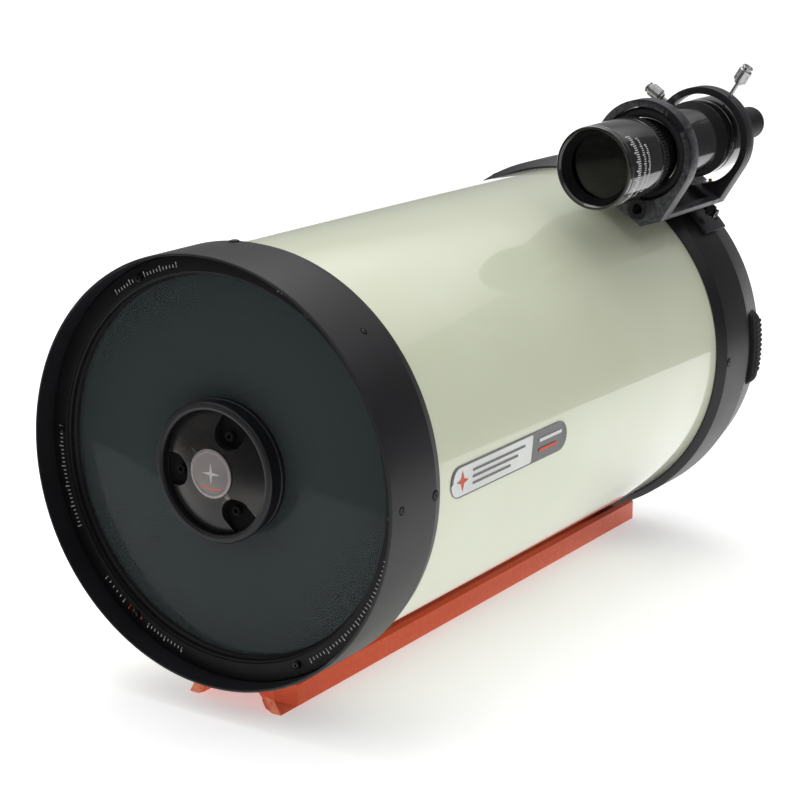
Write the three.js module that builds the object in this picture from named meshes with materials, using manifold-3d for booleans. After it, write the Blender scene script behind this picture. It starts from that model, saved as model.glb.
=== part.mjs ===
import * as THREE from 'three';
import { mergeVertices } from 'three/addons/utils/BufferGeometryUtils.js';
import { ConvexGeometry } from 'three/addons/geometries/ConvexGeometry.js';
import Module from 'manifold-3d';

// Schmidt-Cassegrain telescope tube. Millimetres, Z up. The optical axis runs along Y: the sky is
// towards -Y and the eyepiece end towards +Y. The origin is on the underside of the dovetail bar,
// half way along it. Inside the ota group Y is measured from the front of the front cell.

// Clearances
const GAP = 0.3; // between pieces that touch or are screwed together
const RUN = 0.4; // between pieces that turn or slide on each other

// Main tube and cells
const TUBE_R = 132;
const TUBE_WALL = 2.4;
const FRONT_R = TUBE_R + 5.5;
const FRONT_REAR_R = TUBE_R + 3.1;
const FRONT_LEN = 55.5;
const FRONT_LIP = 1.1;
const TUBE_END = 441.6; // where the painted tube disappears into the rear cell
const SLEEVE = 18; // overlap of the tube inside each cell
const REAR_R = TUBE_R + 6;
const REAR_BEVEL_END = TUBE_END + 7.2;
const REAR_BAND_END = TUBE_END + 44.9;
const REAR_TAPER_END = TUBE_END + 74.4;
const REAR_TAPER_R = TUBE_R;
const REAR_BACK = REAR_TAPER_END + 3;
const REAR_WALL = 9;

// Corrector and its retaining ring
const RETAINER_FACE = 15;
const RETAINER_INNER_R = TUBE_R - 11.3;
const RETAINER_SCREW_CIRCLE = TUBE_R - 4;
const RETAINER_SCREWS = 6;
const RETAINER_SCREW_PHASE = 57;
const CORRECTOR_R = TUBE_R - 6;
const CORRECTOR_T = 5;
const CORRECTOR_FRONT = 24.3;
const CORRECTOR_HOLE_R = 36.5;
const GASKET_T = 0.8;

// Secondary assembly
const SEC_R = 44.9;
const SEC_FRONT = 8.8;
const SEC_RING_T = 5.4;
const SEC_BORE_R = 39.6;
const SEC_NECK_BORE_R = 33.5;
const SCALLOPS = 3;
const SCALLOP_R = 10.5;
const SCALLOP_CIRCLE = 29.6;
const SCALLOP_PHASE = 65;
const COLLIMATION_CIRCLE = 27;
const SEC_MIRROR_R = 30.5;
const SEC_BADGE_R = 15.8;
const SEC_BAFFLE_END = 72;

// Primary mirror, carrier and baffle tube
const BAFFLE_R = 25;
const BAFFLE_FRONT = TUBE_END - 191.6;
const MIRROR_R = TUBE_R - 14;
const MIRROR_BACK = TUBE_END + 8.4;
const MIRROR_EDGE_T = 22;
const MIRROR_SAG = 6.4;
const CARRIER_BACK = TUBE_END + 46.4;
const CARRIER_R = 80;

// Back of the telescope
const BOSS_BORE_R = BAFFLE_R + 2.3;
const BOSS_R = BOSS_BORE_R + 16.7;
const BOSS_BACK = REAR_BACK + 8;
const EYEPIECE_BORE_R = 15.95;
const VISUAL_BACK_END = BOSS_BACK + 32;
const FOCUS_CIRCLE = 70;
const FOCUS_ANGLE = -35;
const FOCUS_ROD_R = 3;
const LOCK_CIRCLE = 82;
const LOCK_ANGLES = [140, 250];
const VENT_CIRCLE = 92;
const VENT_ANGLES = [60, 200];

// Dovetail bar
const BAR_HALF_W = 36.5;
const BAR_TOP = -TUBE_R - 8.2;
const BAR_SIDE_TOP = BAR_TOP - 2.5;
const AXIS_Z = 16.9 - BAR_TOP; // optical axis above the underside of the bar
const BAR_Y0 = 26;
const BAR_Y1 = TUBE_END + 60.4;
const RAIL_INNER = 22;
const RAIL_FLAT = 29.5;
const WEB_T = 5;

// Side plate and grip
const BADGE_Y0 = 72;
const BADGE_LEN = 142;
const BADGE_H = 20;
const BADGE_Z = -2;
const GRIP_R = REAR_R + 3.5;
const GRIP_Y0 = REAR_BACK - 24.5;
const GRIP_Y1 = GRIP_Y0 + 10.5;

// Finder: v is sideways, u is outward from the optical axis, at this angle above +X
const FINDER_ANGLE = 58;
const FINDER_U = TUBE_R + 55.5;
const RING_R = 38.3;
const RING_BORE_R = 33.2;
const RING_T = 12;
const RING_Y = [TUBE_END - 66.1, TUBE_END + 26.9];
const BASE_TOP = -26.5;
const BASE_BOTTOM = -31.5;
const KEEL_BOTTOM = -43.6;
const KEEL_HALF_W = 28;
const FOOT_TOP = -38.5;
const FOOT_BOTTOM = -46;
const FOOT_HALF_W = [12, 16];
const SHOE_Y = [REAR_BAND_END - 19.5, REAR_BAND_END + 13.5];
const FOOT_END = SHOE_Y[1] + 2;
const SHOE_HALF_W = 45;
const SHOE_R = [REAR_R + GAP, REAR_R + 3.2];
const JAW_HALF_W = 25;
const PIVOT_Y = RING_Y[0] + RING_T / 2;
const FINDER_TILT = 1.2;
const FINDER_TUBE_R = 25;
const FINDER_REAR_R = 28;
const FINDER_CELL_R = 28.8;
const FINDER_LENS_R = 25;
const EYEPIECE_R = 13.6;
const ADJUST_Y = RING_Y[1] + RING_T / 2;
const ADJUST_SIDE_U = 5;
const PLUNGER_TIP_CLEAR = 2.6;

const RAD = Math.PI / 180;
const wasm = await Module();
wasm.setup();

const finishes = {
  blackCast: { color: 0x2b2b30, roughness: 0.55, metalness: 0.5 },
  blackGloss: { color: 0x141416, roughness: 0.25, metalness: 0.2 },
  blackPlastic: { color: 0x1c1c1e, roughness: 0.5, metalness: 0 },
  rubber: { color: 0x161616, roughness: 0.9, metalness: 0 },
  cream: { color: 0xe2e3d4, roughness: 0.25, metalness: 0.1 },
  orange: { color: 0xd2582f, roughness: 0.4, metalness: 0.7 },
  chrome: { color: 0xc8c8c8, roughness: 0.2, metalness: 1 },
  brass: { color: 0xb08d57, roughness: 0.3, metalness: 1 },
  aluminium: { color: 0x9a9c9f, roughness: 0.35, metalness: 1 },
  glass: { color: 0x4a5656, roughness: 0.05, metalness: 0 },
  mirror: { color: 0xe6e8ea, roughness: 0.03, metalness: 1 },
  badge: { color: 0xc9cbc8, roughness: 0.3, metalness: 0.2 },
};

// Welds a geometry, drops collapsed triangles and turns its faces outward.
function solid(geometry) {
  geometry.deleteAttribute('normal');
  geometry.deleteAttribute('uv');
  const welded = mergeVertices(geometry, 1e-4);
  const p = welded.attributes.position;
  const kept = [];
  const a = new THREE.Vector3();
  const b = new THREE.Vector3();
  const c = new THREE.Vector3();
  let volume = 0;
  for (let i = 0; i < welded.index.count; i += 3) {
    const t = [0, 1, 2].map((k) => welded.index.getX(i + k));
    if (t[0] === t[1] || t[1] === t[2] || t[2] === t[0]) continue;
    kept.push(...t);
    a.fromBufferAttribute(p, t[0]);
    b.fromBufferAttribute(p, t[1]);
    c.fromBufferAttribute(p, t[2]);
    volume += a.dot(b.cross(c));
  }
  if (volume < 0) kept.reverse();
  const out = new THREE.BufferGeometry();
  out.setAttribute('position', p);
  out.setIndex(kept);
  return out;
}

function toManifold(geometry) {
  return new wasm.Manifold(new wasm.Mesh({
    numProp: 3,
    vertProperties: new Float32Array(geometry.attributes.position.array),
    triVerts: new Uint32Array(geometry.index.array),
  }));
}

function fromManifold(shape) {
  const mesh = shape.getMesh();
  const out = new THREE.BufferGeometry();
  out.setAttribute('position', new THREE.BufferAttribute(new Float32Array(mesh.vertProperties), 3));
  out.setIndex(new THREE.BufferAttribute(new Uint32Array(mesh.triVerts), 1));
  return out;
}

function subtract(base, cutters) {
  return fromManifold(cutters.reduce((s, c) => s.subtract(toManifold(c)), toManifold(base)));
}

function union(parts) {
  return fromManifold(parts.slice(1).reduce((s, c) => s.add(toManifold(c)), toManifold(parts[0])));
}

function intersect(a, b) {
  return fromManifold(toManifold(a).intersect(toManifold(b)));
}

// Turns a closed [radius, y] outline about Y.
function turned(outline, segments) {
  const points = outline.map(([r, y]) => new THREE.Vector2(r, y));
  points.push(points[0].clone());
  return solid(new THREE.LatheGeometry(points, segments));
}

function disc(r, y0, y1, segments) {
  return turned([[0, y0], [r, y0], [r, y1], [0, y1]], segments);
}

function tube(inner, outer, y0, y1, segments) {
  return turned([[inner, y0], [outer, y0], [outer, y1], [inner, y1]], segments);
}

// Extrudes an [x, z] outline along Y from y0 to y1.
function prism(outline, y0, y1) {
  const shape = new THREE.Shape(outline.map(([x, z]) => new THREE.Vector2(x, z)));
  const geometry = new THREE.ExtrudeGeometry(shape, { depth: y1 - y0, bevelEnabled: false });
  geometry.rotateX(Math.PI / 2);
  geometry.translate(0, y1, 0);
  return solid(geometry);
}

function box(x0, x1, y0, y1, z0, z1) {
  return prism([[x0, z0], [x1, z0], [x1, z1], [x0, z1]], y0, y1);
}

function moved(geometry, x, y, z) {
  geometry.translate(x, y, z);
  return geometry;
}

// Points of an arc about the Y axis as [x, z] pairs, degrees from +X.
function arc(r, from, to, steps) {
  return Array.from({ length: steps + 1 }, (_, i) => {
    const t = (from + ((to - from) * i) / steps) * RAD;
    return [r * Math.cos(t), r * Math.sin(t)];
  });
}

function polar(r, degrees) {
  return [r * Math.cos(degrees * RAD), r * Math.sin(degrees * RAD)];
}

function add(parent, name, geometry, finish) {
  const mesh = new THREE.Mesh(geometry, new THREE.MeshStandardMaterial(finishes[finish]));
  mesh.name = name;
  parent.add(mesh);
  return mesh;
}

function addAt(parent, name, geometry, finish, x, y, z) {
  const mesh = add(parent, name, geometry, finish);
  mesh.position.set(x, y, z);
  return mesh;
}

const root = new THREE.Group();
root.name = 'schmidt_cassegrain_telescope';
const ota = new THREE.Group();
ota.position.set(0, -(BAR_Y0 + BAR_Y1) / 2, AXIS_Z);
root.add(ota);

const BIG = 56;
const MID = 32;
const SMALL = 16;
const TINY = 8;

// ---- Front cell, corrector and retaining ring
const correctorBack = CORRECTOR_FRONT + CORRECTOR_T;
const gasketFront = correctorBack + GAP;
const flangeSeat = gasketFront + GASKET_T + GAP;
const flangeBack = flangeSeat + 7;
const ringSeat = RETAINER_FACE + 6.4;
const wallFrontR = FRONT_R - FRONT_LIP - 0.8;
const wallBackR = wallFrontR - 0.5;
const retainerR = wallBackR - GAP;
const tubeBoreR = TUBE_R + GAP;
add(ota, 'front_cell', turned([
  [wallFrontR, 0], [FRONT_R - 0.8, 0], [FRONT_R, 0.8], [FRONT_R, FRONT_LEN - 7.5],
  [FRONT_REAR_R, FRONT_LEN], [tubeBoreR, FRONT_LEN], [tubeBoreR, flangeBack],
  [RETAINER_INNER_R + 1, flangeBack], [RETAINER_INNER_R + 1, flangeSeat], [CORRECTOR_R + GAP, flangeSeat],
  [CORRECTOR_R + GAP, ringSeat], [wallBackR, ringSeat],
], BIG), 'blackCast');

const retainerBlank = turned([
  [RETAINER_INNER_R + 3, RETAINER_FACE], [retainerR, RETAINER_FACE], [retainerR, ringSeat - GAP],
  [CORRECTOR_R, ringSeat - GAP], [CORRECTOR_R, CORRECTOR_FRONT - GAP],
  [RETAINER_INNER_R, CORRECTOR_FRONT - GAP], [RETAINER_INNER_R, CORRECTOR_FRONT - 2.6],
], BIG);
const ringScrewHead = { r: 2.4, t: 1.9 };
const ringScrewShank = { r: 1.4, end: ringSeat - GAP - 0.2 };
const ringCuts = [];
for (let i = 0; i < RETAINER_SCREWS; i += 1) {
  const [x, z] = polar(RETAINER_SCREW_CIRCLE, RETAINER_SCREW_PHASE + (i * 360) / RETAINER_SCREWS);
  ringCuts.push(moved(disc(ringScrewShank.r + GAP, RETAINER_FACE - 1, ringSeat + 1, TINY), x, 0, z));
  const head = disc(ringScrewHead.r, RETAINER_FACE - GAP - ringScrewHead.t, RETAINER_FACE - GAP, TINY);
  const shank = disc(ringScrewShank.r, RETAINER_FACE - 1, ringScrewShank.end, TINY);
  addAt(ota, `ring_screw_${i + 1}`, union([head, shank]), 'blackGloss', x, 0, z);
}
add(ota, 'corrector_retaining_ring', subtract(retainerBlank, ringCuts), 'blackCast');
add(ota, 'corrector_gasket',
  tube(RETAINER_INNER_R + 1.3, CORRECTOR_R, gasketFront, gasketFront + GASKET_T, BIG), 'rubber');
add(ota, 'corrector_plate',
  tube(CORRECTOR_HOLE_R, CORRECTOR_R, CORRECTOR_FRONT, correctorBack, BIG), 'glass');

// ---- Main tube and the plate on its side
const tubeFront = flangeBack + GAP;
const tubeBack = TUBE_END + SLEEVE;
add(ota, 'main_tube', tube(TUBE_R - TUBE_WALL, TUBE_R, tubeFront, tubeBack, BIG), 'cream');

function stadiumAlongX(y0, length, height, z, x0, x1) {
  const r = height / 2;
  const outline = new THREE.Shape();
  outline.absarc(0, length - r, r, 0, Math.PI, false);
  outline.absarc(0, r, r, Math.PI, 2 * Math.PI, false);
  const geometry = new THREE.ExtrudeGeometry(outline, {
    depth: x1 - x0, bevelEnabled: false, curveSegments: 8,
  });
  geometry.rotateY(Math.PI / 2);
  geometry.translate(x0, y0, z);
  return solid(geometry);
}
const badgeShell = tube(TUBE_R + GAP, TUBE_R + GAP + 0.7, BADGE_Y0 - 5, BADGE_Y0 + BADGE_LEN + 5, BIG);
add(ota, 'tube_badge', intersect(
  badgeShell, stadiumAlongX(BADGE_Y0, BADGE_LEN, BADGE_H, BADGE_Z, TUBE_R - 10, TUBE_R + 10),
), 'badge');

// ---- Secondary assembly
const ringBack = SEC_FRONT + SEC_RING_T;
const housingFront = ringBack + GAP;
const neckR = CORRECTOR_HOLE_R - GAP;
const boreFloor = CORRECTOR_FRONT - 2;
const baffleFlange = correctorBack + GAP;
add(ota, 'secondary_front_ring', tube(SEC_BORE_R, SEC_R, SEC_FRONT, ringBack, MID), 'blackCast');
add(ota, 'secondary_housing', turned([
  [SEC_BORE_R - 0.3, housingFront], [SEC_R - 0.6, housingFront], [SEC_R - 0.6, CORRECTOR_FRONT - GAP],
  [neckR, CORRECTOR_FRONT - GAP], [neckR, correctorBack + 4.7], [SEC_NECK_BORE_R, correctorBack + 4.7],
  [SEC_NECK_BORE_R, boreFloor], [SEC_BORE_R - 0.3, boreFloor],
], MID), 'blackCast');
add(ota, 'secondary_baffle', turned([
  [neckR + GAP, baffleFlange], [SEC_R - 0.9, baffleFlange], [SEC_R - 0.9, baffleFlange + 3.5],
  [SEC_R - 3.5, baffleFlange + 3.5], [SEC_R - 4.7, SEC_BAFFLE_END], [SEC_R - 5.9, SEC_BAFFLE_END],
  [SEC_R - 4.8, baffleFlange + 5], [neckR + GAP, baffleFlange + 5],
], MID), 'blackPlastic');

const dishR = SEC_BORE_R - 0.3 - RUN;
const dishBack = boreFloor - GAP;
const scallopFloor = SEC_FRONT + 6.5;
const dishBlank = turned([
  [0, SEC_FRONT - 0.6], [SEC_BADGE_R + 0.4, SEC_FRONT - 0.6], [SCALLOP_CIRCLE, SEC_FRONT + 1.8],
  [dishR, SEC_FRONT + 4.6], [dishR, dishBack], [0, dishBack],
], MID);
const dishCuts = [];
const slotEnd = dishR + 1;
const slotArc = Array.from({ length: 17 }, (_, i) => polar(SCALLOP_R, 90 + (i * 180) / 16));
const slotOutline = [
  ...slotArc.map(([x, z]) => [SCALLOP_CIRCLE + x, z]), [slotEnd, -SCALLOP_R], [slotEnd, SCALLOP_R],
];
const plateFront = dishBack + 4;
for (let i = 0; i < SCALLOPS; i += 1) {
  const angle = SCALLOP_PHASE - (i * 360) / SCALLOPS;
  const [cos, sin] = polar(1, angle);
  const slot = slotOutline.map(([x, z]) => [x * cos - z * sin, x * sin + z * cos]);
  const [sx, sz] = polar(COLLIMATION_CIRCLE, angle);
  dishCuts.push(prism(slot, 0, scallopFloor));
  dishCuts.push(moved(disc(1.6 + RUN, 0, dishBack + 5, TINY), sx, 0, sz));
  const head = disc(3.2, scallopFloor - GAP - 3.6, scallopFloor - GAP, TINY);
  const shank = disc(1.6, scallopFloor - 1, plateFront - 0.8, TINY);
  addAt(ota, `collimation_screw_${i + 1}`, union([head, shank]), 'blackGloss', sx, 0, sz);
}
add(ota, 'secondary_cell', subtract(dishBlank, dishCuts), 'blackCast');
add(ota, 'secondary_badge',
  disc(SEC_BADGE_R, SEC_FRONT - 1.5, SEC_FRONT - 0.6 - GAP, SMALL), 'badge');
add(ota, 'secondary_pivot', disc(2.5, dishBack + GAP, plateFront - GAP, TINY), 'aluminium');
add(ota, 'secondary_mirror_plate', disc(SEC_MIRROR_R + 0.5, plateFront, plateFront + 3.6, MID), 'aluminium');
const secMirrorFront = plateFront + 3.6 + GAP;
add(ota, 'secondary_mirror', turned([
  [0, secMirrorFront], [SEC_MIRROR_R, secMirrorFront], [SEC_MIRROR_R, secMirrorFront + 7.4],
  [SEC_MIRROR_R * 0.6, secMirrorFront + 8.4], [0, secMirrorFront + 8.9],
], MID), 'mirror');

// ---- Primary mirror on its carrier, baffle tube and field lens
const carrierR = BAFFLE_R + RUN;
const mirrorHoleR = carrierR + 4.6;
const mirrorFrontEdge = MIRROR_BACK - MIRROR_EDGE_T;
const sagAt = (r) => mirrorFrontEdge + MIRROR_SAG * (1 - (r / MIRROR_R) ** 2);
add(ota, 'primary_mirror', turned([
  [mirrorHoleR, sagAt(mirrorHoleR)], [MIRROR_R * 0.55, sagAt(MIRROR_R * 0.55)],
  [MIRROR_R * 0.8, sagAt(MIRROR_R * 0.8)], [MIRROR_R, mirrorFrontEdge], [MIRROR_R, MIRROR_BACK],
  [mirrorHoleR, MIRROR_BACK],
], BIG), 'mirror');

const [focusX, focusZ] = polar(FOCUS_CIRCLE, FOCUS_ANGLE);
const carrierBlank = turned([
  [carrierR, mirrorFrontEdge - 8], [mirrorHoleR - RUN, mirrorFrontEdge - 8],
  [mirrorHoleR - RUN, MIRROR_BACK + RUN], [CARRIER_R * 0.65, MIRROR_BACK + RUN],
  [CARRIER_R * 0.65, MIRROR_BACK + 6], [mirrorHoleR - RUN, MIRROR_BACK + 6],
  [mirrorHoleR - RUN, CARRIER_BACK - 6], [CARRIER_R, CARRIER_BACK - 6], [CARRIER_R, CARRIER_BACK],
  [carrierR, CARRIER_BACK],
], MID);
add(ota, 'mirror_carrier', subtract(carrierBlank, [
  moved(disc(FOCUS_ROD_R + RUN, CARRIER_BACK - 10, CARRIER_BACK + 10, SMALL), focusX, 0, focusZ),
]), 'aluminium');

const boreR = BAFFLE_R - 2.2;
add(ota, 'baffle_tube', turned([
  [boreR, BOSS_BACK - 0.5], [boreR, BAFFLE_FRONT + 135], [boreR - 2.5, BAFFLE_FRONT],
  [boreR - 1.3, BAFFLE_FRONT], [BAFFLE_R, BAFFLE_FRONT + 135], [BAFFLE_R, REAR_BACK - 21],
  [BOSS_BORE_R - GAP, REAR_BACK - 21], [BOSS_BORE_R - GAP, BOSS_BACK - 0.5],
], MID), 'blackCast');
add(ota, 'field_lens', disc(boreR - GAP, REAR_BACK - 49, REAR_BACK - 41, MID), 'glass');

// ---- Rear cell, focus knob, mirror locks, vents
const wallInside = REAR_BACK - REAR_WALL;
const cavityR = TUBE_R - 6;
const sleeveEnd = tubeBack + GAP;
const rearOutline = [
  [tubeBoreR, TUBE_END + GAP], [tubeBoreR + 1, TUBE_END + GAP], [REAR_R, REAR_BEVEL_END],
  [REAR_R, REAR_BAND_END], [REAR_TAPER_R, REAR_TAPER_END], [REAR_TAPER_R - 3, REAR_BACK],
  [BOSS_R, REAR_BACK], [BOSS_R, BOSS_BACK], [BOSS_BORE_R, BOSS_BACK], [BOSS_BORE_R, wallInside - 9],
  [BOSS_R - 4, wallInside - 9], [BOSS_R - 4, wallInside], [cavityR, wallInside], [cavityR, sleeveEnd],
  [tubeBoreR, sleeveEnd],
];
const lockShankR = 2.6;
const rearHoles = [moved(disc(FOCUS_ROD_R + RUN, wallInside - 5, REAR_BACK + 5, SMALL), focusX, 0, focusZ)];
for (const angle of LOCK_ANGLES) {
  const [x, z] = polar(LOCK_CIRCLE, angle);
  rearHoles.push(moved(disc(lockShankR + RUN, wallInside - 5, REAR_BACK + 5, TINY), x, 0, z));
}
add(ota, 'rear_cell', subtract(turned(rearOutline, BIG), rearHoles), 'blackCast');

const bearingBack = REAR_BACK + 8;
addAt(ota, 'focus_bearing', tube(FOCUS_ROD_R + RUN, 14, REAR_BACK + GAP, bearingBack, SMALL),
  'blackPlastic', focusX, 0, focusZ);
addAt(ota, 'focus_screw', disc(FOCUS_ROD_R, MIRROR_BACK + 17, bearingBack + 1, SMALL),
  'aluminium', focusX, 0, focusZ);
addAt(ota, 'focus_knob', disc(17, bearingBack + 1 + GAP, bearingBack + 22, SMALL),
  'rubber', focusX, 0, focusZ);
LOCK_ANGLES.forEach((angle, i) => {
  const [x, z] = polar(LOCK_CIRCLE, angle);
  const knob = disc(9, REAR_BACK + RUN, REAR_BACK + 14, SMALL);
  const shank = disc(lockShankR, wallInside - 4, REAR_BACK + 1, TINY);
  addAt(ota, `mirror_lock_${i + 1}`, union([knob, shank]), 'blackPlastic', x, 0, z);
});
VENT_ANGLES.forEach((angle, i) => {
  const [x, z] = polar(VENT_CIRCLE, angle);
  addAt(ota, `vent_${i + 1}`, disc(13, REAR_BACK + GAP, REAR_BACK + 2.4, SMALL), 'blackPlastic', x, 0, z);
});

// ---- Rear port and visual back
const portBack = BOSS_BACK + 6;
const collarFront = portBack + RUN;
const flangeFront = portBack + 1;
const nutR = boreR + 1.7;
add(ota, 'rear_port', tube(boreR, BOSS_R - 4, BOSS_BACK + GAP, portBack, MID), 'blackCast');
const clampY = VISUAL_BACK_END - 6;
const visualBlank = turned([
  [EYEPIECE_BORE_R, flangeFront], [nutR, flangeFront], [nutR, flangeFront + 6],
  [nutR - 4.5, flangeFront + 6], [nutR - 4.5, VISUAL_BACK_END], [EYEPIECE_BORE_R, VISUAL_BACK_END],
], MID);
const clampHole = disc(1.6 + RUN, 0, nutR, TINY);
clampHole.rotateX(Math.PI / 2);
add(ota, 'visual_back', subtract(visualBlank, [moved(clampHole, 0, clampY, 0)]), 'blackCast');
add(ota, 'visual_back_collar', turned([
  [nutR + RUN, collarFront], [nutR + 4.5, collarFront], [nutR + 4.5, flangeFront + 12],
  [nutR - 4.5 + RUN, flangeFront + 12], [nutR - 4.5 + RUN, flangeFront + 6 + RUN],
  [nutR + RUN, flangeFront + 6 + RUN],
], MID), 'blackCast');

// A knurled thumbscrew along +Y: the tip at 0, the head beyond the shank.
function thumbscrew(shankR, shankLength, headR, headLength) {
  return turned([
    [0, 0], [shankR, 0], [shankR, shankLength], [headR, shankLength + 1],
    [headR, shankLength + headLength], [0, shankLength + headLength],
  ], TINY);
}
const clampTip = EYEPIECE_BORE_R + 0.6;
const clampReach = nutR - 0.95 - clampTip;
const clampScrew = addAt(ota, 'visual_back_clamp', thumbscrew(1.6, clampReach, 4.5, 9), 'chrome',
  0, clampY, clampTip);
clampScrew.rotation.x = Math.PI / 2;

// ---- Side grip
const gripOutline = [
  ...arc(REAR_R - 10, -14, 12, 6).reverse(),
  polar(REAR_R - 3.5, -14), polar(GRIP_R - 1.6, -11.5), ...arc(GRIP_R, -8, 7, 6),
  polar(GRIP_R - 1.6, 9.5), polar(REAR_R - 1, 12),
];
const grown = rearOutline.slice(2, 6).map(([r, y]) => [r + GAP, y]);
const cellCutter = turned([[REAR_R - 30, REAR_BEVEL_END], ...grown, [REAR_R - 30, REAR_BACK]], BIG);
add(ota, 'side_grip', subtract(prism(gripOutline, GRIP_Y0, GRIP_Y1), [cellCutter]), 'rubber');

// ---- Dovetail bar with its radius pads
const barBottom = -AXIS_Z;
const halfBar = [
  [BAR_HALF_W, barBottom], [BAR_HALF_W, BAR_SIDE_TOP], [BAR_HALF_W - 2.5, BAR_TOP],
];
const halfChannel = [
  [RAIL_INNER - 3, BAR_TOP - WEB_T], [RAIL_INNER, BAR_TOP - WEB_T - 3], [RAIL_INNER, barBottom + 7],
  [RAIL_INNER + 2.5, barBottom + 2.2], [RAIL_FLAT, barBottom],
];
const mirrored = (points) => points.map(([x, z]) => [-x, z]).reverse();
const barBlank = prism([...halfBar, ...mirrored(halfBar), ...mirrored(halfChannel), ...halfChannel],
  BAR_Y0, BAR_Y1);
const noseTop = BAR_TOP + 10.2;
const noseShoulder = BAR_TOP - 7.3;
const noseCut = (side) => new ConvexGeometry([
  [31.4, BAR_Y0, noseShoulder], [37.6, BAR_Y0, barBottom - 1.8], [31.4, BAR_Y0 - 3, noseShoulder],
  [37.6, BAR_Y0 - 3, barBottom - 1.8], [36.9, BAR_Y0 + 19.6, barBottom - 0.8], [31.4, BAR_Y0, noseTop],
  [37.6, BAR_Y0, noseTop], [31.4, BAR_Y0 - 3, noseTop], [37.6, BAR_Y0 - 3, noseTop],
  [36.9, BAR_Y0 + 19.6, noseTop],
].map(([x, y, z]) => new THREE.Vector3(side * x, y, z)));
const padScrewY = { front: (BAR_Y0 + FRONT_LEN) / 2, rear: REAR_BEVEL_END + 18 };
const padHoles = Object.values(padScrewY).map((y) => {
  const hole = disc(2.4 + GAP, 0, 40, TINY);
  hole.rotateX(Math.PI / 2);
  return moved(hole, 0, y, barBottom);
});
add(ota, 'dovetail_bar', subtract(barBlank, [
  solid(noseCut(1)), solid(noseCut(-1)), ...padHoles,
]), 'orange');
const padHalfW = 28;
const pads = [
  ['front', padScrewY.front - 14, padScrewY.front + 14, FRONT_R],
  ['rear', REAR_BEVEL_END + 2, REAR_BAND_END - 2, REAR_R],
];
for (const [end, y0, y1, seatR] of pads) {
  const blank = box(-padHalfW, padHalfW, y0, y1, BAR_TOP + GAP, BAR_TOP + 12);
  const saddle = disc(seatR + GAP, y0 - 5, y1 + 5, BIG);
  const hole = disc(2.4 + GAP, 0, 40, TINY);
  hole.rotateX(Math.PI / 2);
  add(ota, `radius_pad_${end}`, subtract(blank, [
    saddle, moved(hole, 0, padScrewY[end], barBottom),
  ]), 'blackPlastic');
  const screw = addAt(ota, `bar_screw_${end}`, union([
    disc(5, 0, 3.6, SMALL), disc(2.4, 3, -BAR_TOP - seatR + WEB_T + 3.6, TINY),
  ]), 'blackGloss', 0, padScrewY[end], BAR_TOP - WEB_T - GAP - 3.6);
  screw.rotation.x = Math.PI / 2;
}

// ---- Finder. In these groups X is v, Y runs along the tube and Z is u.
const finder = new THREE.Group();
finder.rotation.y = (90 - FINDER_ANGLE) * RAD;
ota.add(finder);
const bracketFrame = new THREE.Group();
bracketFrame.position.set(0, 0, FINDER_U);
finder.add(bracketFrame);

const shoeArc = Math.asin(SHOE_HALF_W / SHOE_R[1]) / RAD;
const jawRun = RUN * 1.2;
const jawTop = FOOT_TOP - 0.7;
const lerpFoot = (u) => FOOT_HALF_W[1] + ((u - FOOT_BOTTOM) * (FOOT_HALF_W[0] - FOOT_HALF_W[1]))
  / (FOOT_TOP - FOOT_BOTTOM);
const jawBottom = SHOE_R[0] + 1 - FINDER_U;
const jaw = (side) => prism([
  [side * (lerpFoot(jawBottom) + jawRun), jawBottom], [side * JAW_HALF_W, jawBottom - 2],
  [side * JAW_HALF_W, jawTop - 3], [side * (JAW_HALF_W - 3), jawTop],
  [side * (lerpFoot(jawTop) + jawRun), jawTop],
].map(([v, u]) => [v, u + FINDER_U]), SHOE_Y[0], SHOE_Y[1]);
const saddlePlate = prism([
  ...arc(SHOE_R[1], 90 - shoeArc, 90 + shoeArc, 16), ...arc(SHOE_R[0], 90 + shoeArc, 90 - shoeArc, 16),
], SHOE_Y[0], SHOE_Y[1]);
const shoeScrewU = -42.2;
const shoeScrewY = SHOE_Y[0] + 11;
const shoeHole = disc(2.2 + RUN, 0, 60, TINY);
shoeHole.rotateZ(-Math.PI / 2);
add(finder, 'finder_shoe', subtract(
  union([saddlePlate, jaw(1), jaw(-1)]), [moved(shoeHole, 5, shoeScrewY, shoeScrewU + FINDER_U)],
), 'blackCast');
const shoeClamp = addAt(bracketFrame, 'shoe_clamp_screw', thumbscrew(2.2, 16, 4.8, 9), 'chrome',
  lerpFoot(shoeScrewU - 2.2) + GAP, shoeScrewY, shoeScrewU);
shoeClamp.rotation.z = -Math.PI / 2;

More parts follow.
